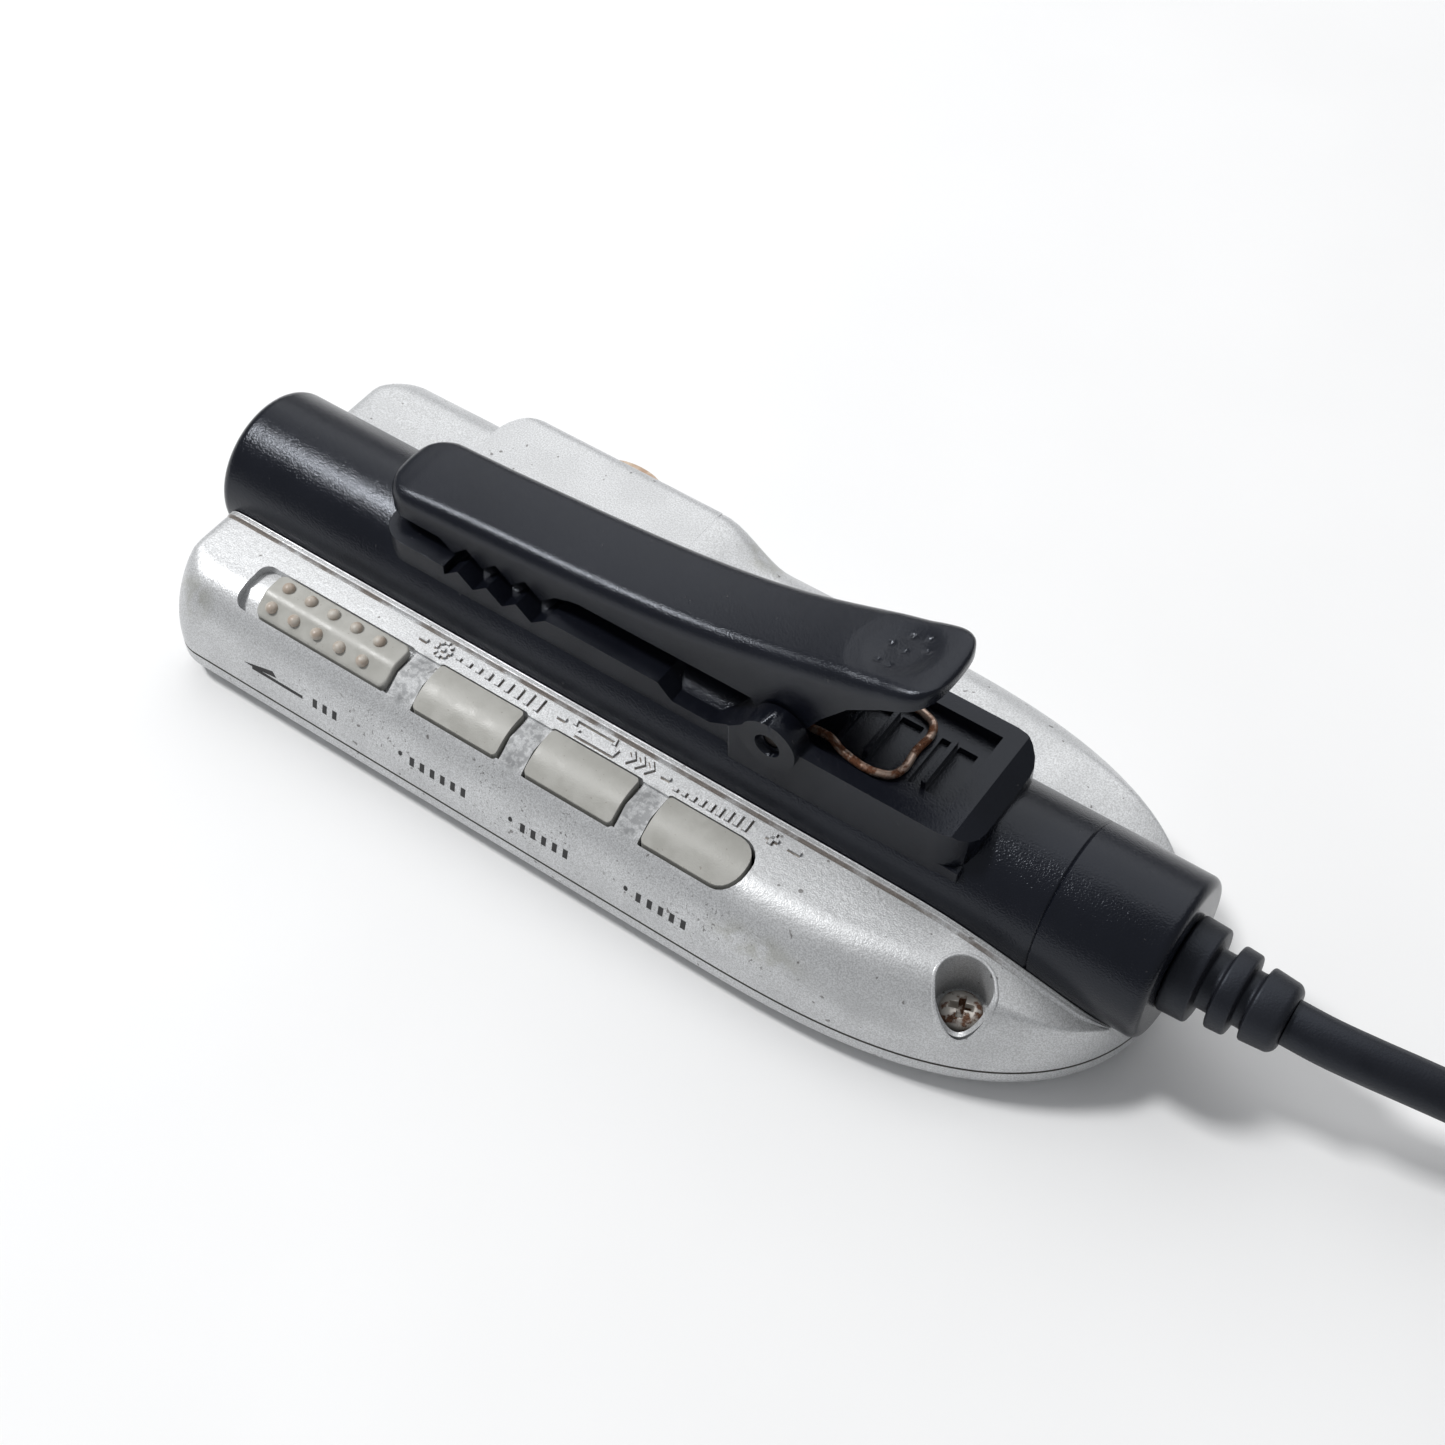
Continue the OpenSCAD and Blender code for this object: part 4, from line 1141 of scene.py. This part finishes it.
def lever_half(x):
    """Half the lever's width: rounded at its left end and at the thumb pad's tip."""
    if x < LEVER_X0 + 2.5:
        u = min((LEVER_X0 + 2.5 - x) / 2.5, 1)
        return 1.0 + 2.5 * math.sqrt(1 - u * u)
    base = 3.5 + 0.2 * min(max((x - 8) / 7, 0), 1)
    if x > 17.6:
        u = min((x - 17.6) / 3.8, 1)
        return 3.7 * max(1 - u ** 4.6, 0.0) ** 0.45
    return base


def lever_stations():
    left = [LEVER_X0 + 2.5 - 2.5 * math.cos(math.radians(a)) for a in steps(3, 90, 12)] + [-21.6, -20.4]
    teeth = [-19.2, -18.6] + [-18 + TOOTH / 2 * i / 4 for i in range(29)]
    plain = steps(-8.0, 8.6, 24)
    ear = [HINGE[0] - 1.5 * math.cos(math.radians(a)) for a in steps(0, 165, 14)]
    pad = steps(12.3, 17.6, 36)[0:-1] + [17.6 + 3.8 * math.sin(math.radians(a)) for a in steps(0, 89, 34)]
    return sorted(set(left + teeth + plain + ear + pad))


PAD_PITS = [(17.2, 0.1), (18.2, 1.6), (17.0, 1.5), (18.6, 0.6), (17.0, -1.4), (16.0, -1.2), (16.0, 0.5)]


def pad_dish(x, y):
    """How far the thumb pad's top is dished at x, y, with small pits."""
    u = math.hypot((x - 17.2) / 2.3, (y - 0.1) / 2.4)
    dish = 0.22 * eased_step((1.2 - u) / 0.7) + 0.25 * max(1 - math.hypot((x - 17.6) / 4.2, y / 3.9) ** 2, 0)
    return dish + sum(0.16 * bump(math.hypot(x - a, y - b), 0, 0.3) for a, b in PAD_PITS)


def make_lever():
    wall, roof, round_r = 1.0, 1.4, 1.15
    rings = []
    for x in lever_stations():
        half = lever_half(x)
        top, under = smoothed(LEVER_TOP, x), lever_under(x)
        r = min(round_r, half * 0.6, (top - max(under, 7.3)) * 0.5)
        under = min(under, top - 0.25)
        if x < LEVER_X0 + 0.9 or x > 20.6:
            end = (LEVER_X0 + 0.9 - x) / 0.9 if x < 0 else (x - 20.6) / 0.8
            drop = 0.55 * (1 - math.sqrt(max(1 - min(end, 1) ** 2, 0)))
            top -= drop
            r = min(r, (top - under) * 0.45)
        channelled = LEVER_X0 + 1.35 < x < 15.4
        inner = max(half - wall, 0.2)
        ceiling = top - roof if channelled else under
        ceiling = max(ceiling, under)
        ring = [(-half, under), (-half, mix(under, top - r, 0.5)), (-half, top - r)]
        ring += [(-half + r - r * math.cos(math.radians(a)), top - r + r * math.sin(math.radians(a)))
                 for a in (15, 30, 45, 60, 75, 90)]
        flat = half - r
        ring += [(flat * s, top) for s in steps(-1, 1, 44)[1:-1]]
        ring += [(half - r + r * math.sin(math.radians(a)), top - r + r * math.cos(math.radians(a)))
                 for a in (0, 15, 30, 45, 60, 75)]
        ring += [(half, top - r), (half, mix(under, top - r, 0.5)), (half, under)]
        ring += [(inner, under), (inner, ceiling), (0, ceiling), (-inner, ceiling), (-inner, under)]
        shaped = []
        for y, z in ring:
            on_top = min(max((z - (top - r)) / r, 0), 1)
            crown = 0.22 * (1 - (y / half) ** 2)
            z += on_top * (crown - (pad_dish(x, y) if x > 12 else 0))
            shaped.append((x, y, z))
        rings.append(shaped)
    lever = tube_rings("clip_lever", rings, sharp=42)
    bore = lathe("bore", [(0, -6), (0.7, -6), (0.7, 6), (0, 6)], n=48, centre=(HINGE[0], 0, HINGE[1]),
                 turn=Matrix.Rotation(math.radians(90), 3, "Z"))
    return put(combine(lever, bore, sharp=42), CLIP)


def make_clip_base():
    """The toothed tongue with a round left end, and the seat with its flange, wells and ribs."""
    plan = extrude("plan", rounded_rect(-24.3, 7.3, -4.7, 4.7, 2.3, 0.01, 8), 2, 7.3, "z")
    core = extrude("core", arc((0, 0), BARREL_R, BARREL_R, 0, 354, 59), -30, 30, "x")
    end = extrude("end", rounded_rect(-24.3, -18, -4.7, 4.7, 2.3, 0.01, 8), 2.7, 5.75, "z")
    tongue = combine(copy_of("clip_base"), plan, how="INTERSECT")
    tongue = bevel(combine(combine(tongue, end, how="UNION"), core), 0.16, 3, 30)
    hinge_end = extrude("plan", rounded_rect(7.1, 30, -6, 6, 0.01, 0.01), 2, 12, "z")
    seat = combine(copy_of("clip_base"), hinge_end, how="INTERSECT")
    flange = extrude("flange", rounded_rect(15.5, 25.5, -5.15, 3, 0.05, 0.05, 1), 2.7, 4.1, "z")
    core = extrude("core", arc((0, 0), BARREL_R, BARREL_R, 0, 354, 59), 10, 30, "x")
    seat = combine(seat, combine(flange, core), how="UNION")
    wells = [extrude("well", rounded_rect(x0, x1, -2.2, 2.2, 0.05, 0.05, 1), 6.08, 8, "z")
             for x0, x1 in ((14.0, 15.9), (16.5, 18.2), (19.6, 20.5), (20.95, 22.4))]
    seat = bevel(combine(seat, *wells), 0.2, 3, 30)
    ribs = [bevel(extrude("rib", rounded_rect(x - 0.18, x + 0.18, -2.1, 2.1, 0.02, 0.02, 1), 6.1, 7.15, "z"), 0.08, 2)
            for x in (16.2, 20.7)]
    return put(join(tongue, seat, *ribs), CLIP)


def make_pin():
    return put(lathe("clip_pin", eased([(0, -5), (0.65, -5), (0.65, 5), (0, 5)], 0.12, 2), n=48,
                     centre=(HINGE[0], 0, HINGE[1]), turn=Matrix.Rotation(math.radians(90), 3, "Z")), PIN_SHADED_STEEL)


WIRE_R = 0.3
TURN_R = 0.98
SEAT_Z = 6.83


def coil_part(side, a0, a1):
    """The wire's turns round the pin between two angles, in degrees."""
    n = max(round((a1 - a0) / 13.5), 1)
    return [(HINGE[0] + TURN_R * math.cos(math.radians(a)), side * (1.4 + 0.79 * (a - 144) / 486),
             HINGE[1] + TURN_R * math.sin(math.radians(a))) for a in steps(a0, a1, n)]


def wire(name, points):
    curve = bpy.data.curves.new(name, "CURVE")
    curve.dimensions = "3D"
    curve.bevel_depth = WIRE_R * MM
    curve.bevel_resolution = 4
    curve.resolution_u = 4
    curve.use_fill_caps = True
    spline = curve.splines.new("BEZIER")
    spline.bezier_points.add(len(points) - 1)
    for knot, p in zip(spline.bezier_points, points):
        knot.co = place(p)
        knot.handle_left_type = knot.handle_right_type = "AUTO"
    drawn = bpy.data.objects.new(name, curve)
    bpy.context.scene.collection.objects.link(drawn)
    bpy.context.view_layer.update()
    graph = bpy.context.evaluated_depsgraph_get()
    mesh = bpy.data.meshes.new_from_object(drawn.evaluated_get(graph), depsgraph=graph)
    obj = bpy.data.objects.new(name, mesh)
    bpy.context.scene.collection.objects.link(obj)
    bpy.data.objects.remove(drawn)
    clean(obj, 50)
    return put(obj, SPRING)


def make_spring():
    """The coils round the pin and the loop along the seat, which stay with the housing."""
    seat = [(13.5, 2.3), (15, 2.85), (18.2, 2.85), (18.85, 2.2), (18.85, 0)]
    halves = [coil_part(side, 166, 630) + [(x, side * y, SEAT_Z) for x, y in seat] for side in (-1, 1)]
    return wire("clip_spring", halves[0] + halves[1][-2::-1])


def make_spring_arm():
    """The bar under the thumb pad and the first part of each coil, which turn with the lever."""
    halves = [coil_part(side, 144, 198)[::-1] + [(14.5, side * 1.5, 13), (14.9, side * 1.0, 13.5)]
              for side in (-1, 1)]
    return wire("spring_arm", halves[0] + [(14.9, 0, 13.5)] + halves[1][::-1])


# ------------------------------------------------------------------ putting the pieces in


def add(obj, body, slot, *nodes, name=None):
    obj.name = name or nodes[0] + "_visual"
    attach(obj, body)
    if nodes:
        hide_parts(*nodes)
    return obj


cord = make_cord()
plug_body, plug_tip = make_plug()
tie = make_tie()
relief = make_relief()
add(cord, "housing", "cord_rubber", "cord", "cord_coil", "cord_tail")
add(plug_body, "housing", "plug_black", "plug_body")
add(plug_tip, "housing", "plug_metal", "plug_tip")
add(tie, "housing", "tie_fabric", "cord_tie")
add(relief, "housing", "cord_rubber", "strain_relief")

add(make_rear_shell(), "housing", "casing_silver", "rear_shell")
add(make_front_shell(), "housing", "casing_silver", "front_shell")
add(make_jog_cover(), "housing", "casing_silver", "jog_cover")
add(make_window(), "housing", "window_smoke", "display_window")
add(symbols(), "housing", "casing_silver", name="raised_symbols")
add(sign_dirt_and_shade(), "housing", "casing_silver", name="sign_dirt_and_shade")
add(prints(), "housing", "casing_silver", name="side_prints")
for key_index, key_node in enumerate(("display_key", "mode_key", "sound_key")):
    add(make_key(key_index), key_node, "key_grey", key_node)
add(make_slider(), "hold_slider", "key_grey", "hold_slider")
add(make_bumps(), "hold_slider", "key_grey", name="hold_bumps")
add(make_barrel(), "housing", "barrel_black", "barrel")
add(make_cap(), "housing", "barrel_black", "barrel_cap")
add(make_case_screw(), "housing", "rusty_steel", "case_screw")
add(make_lever(), "clip_lever", "clip_black", "clip_lever")
add(make_clip_base(), "housing", "clip_black", "clip_base")
add(make_pin(), "housing", "bright_steel", "clip_pin")
add(make_spring(), "housing", "rusty_spring", "clip_spring")
add(make_spring_arm(), "clip_lever", "rusty_spring", name="spring_arm")
add(put(bevel(copy_of("jog_lever"), 0.15, 3, 25), CREAM), "jog_lever", "cream_plastic", "jog_lever")

for node_name, node_look in {
    "lcd_panel": LCD, "light_guide": GUIDE, "circuit_board": BOARD, "board_screws": STEEL, "key_switches": SWITCH,
    "hold_wiper": SWITCH, "hold_switch": SWITCH, "jog_carrier": SWITCH, "jog_switch": SWITCH,
    "headphone_jack": JACK, "jack_contacts": BRASS,
}.items():
    put(NODES[node_name], node_look)

# ------------------------------------------------------------------ floor and light


def make_floor():
    mesh = bpy.data.meshes.new("floor")
    half = 1.5
    mesh.from_pydata([(-half, -half, 0), (half, -half, 0), (half, half, 0), (-half, half, 0)], [], [(0, 1, 2, 3)])
    floor = bpy.data.objects.new("floor", mesh)
    bpy.context.scene.collection.objects.link(floor)
    look = Look("floor", Roughness=0.8)
    look.colour(look.blend(look.noise(0.05), (0.88, 0.88, 0.88), (0.9, 0.9, 0.9)))
    floor.data.materials.append(look.material)


def area_light(name, place_at, size, power, tint=(1, 1, 1)):
    data = bpy.data.lights.new(name, "AREA")
    data.shape = "RECTANGLE"
    data.size, data.size_y = size
    data.energy = power
    data.color = tint
    light = bpy.data.objects.new(name, data)
    bpy.context.scene.collection.objects.link(light)
    light.location = place_at
    light.rotation_mode = "QUATERNION"
    light.rotation_quaternion = (-Vector(place_at)).to_track_quat("-Z", "Y")
    return light


def make_lights():
    world = bpy.data.worlds.new("studio")
    bpy.context.scene.world = world
    world.use_nodes = True
    world.node_tree.nodes["Background"].inputs["Color"].default_value = (0.95, 0.97, 1, 1)
    world.node_tree.nodes["Background"].inputs["Strength"].default_value = 0.29
    area_light("key_light", (-0.35, -0.10, 0.53), (0.10, 0.10), 2.6)
    area_light("soft_light", (-0.20, 0.60, 0.85), (1.3, 1.3), 6.3)
    bpy.context.scene.view_settings.view_transform = "Standard"


make_floor()
make_lights()
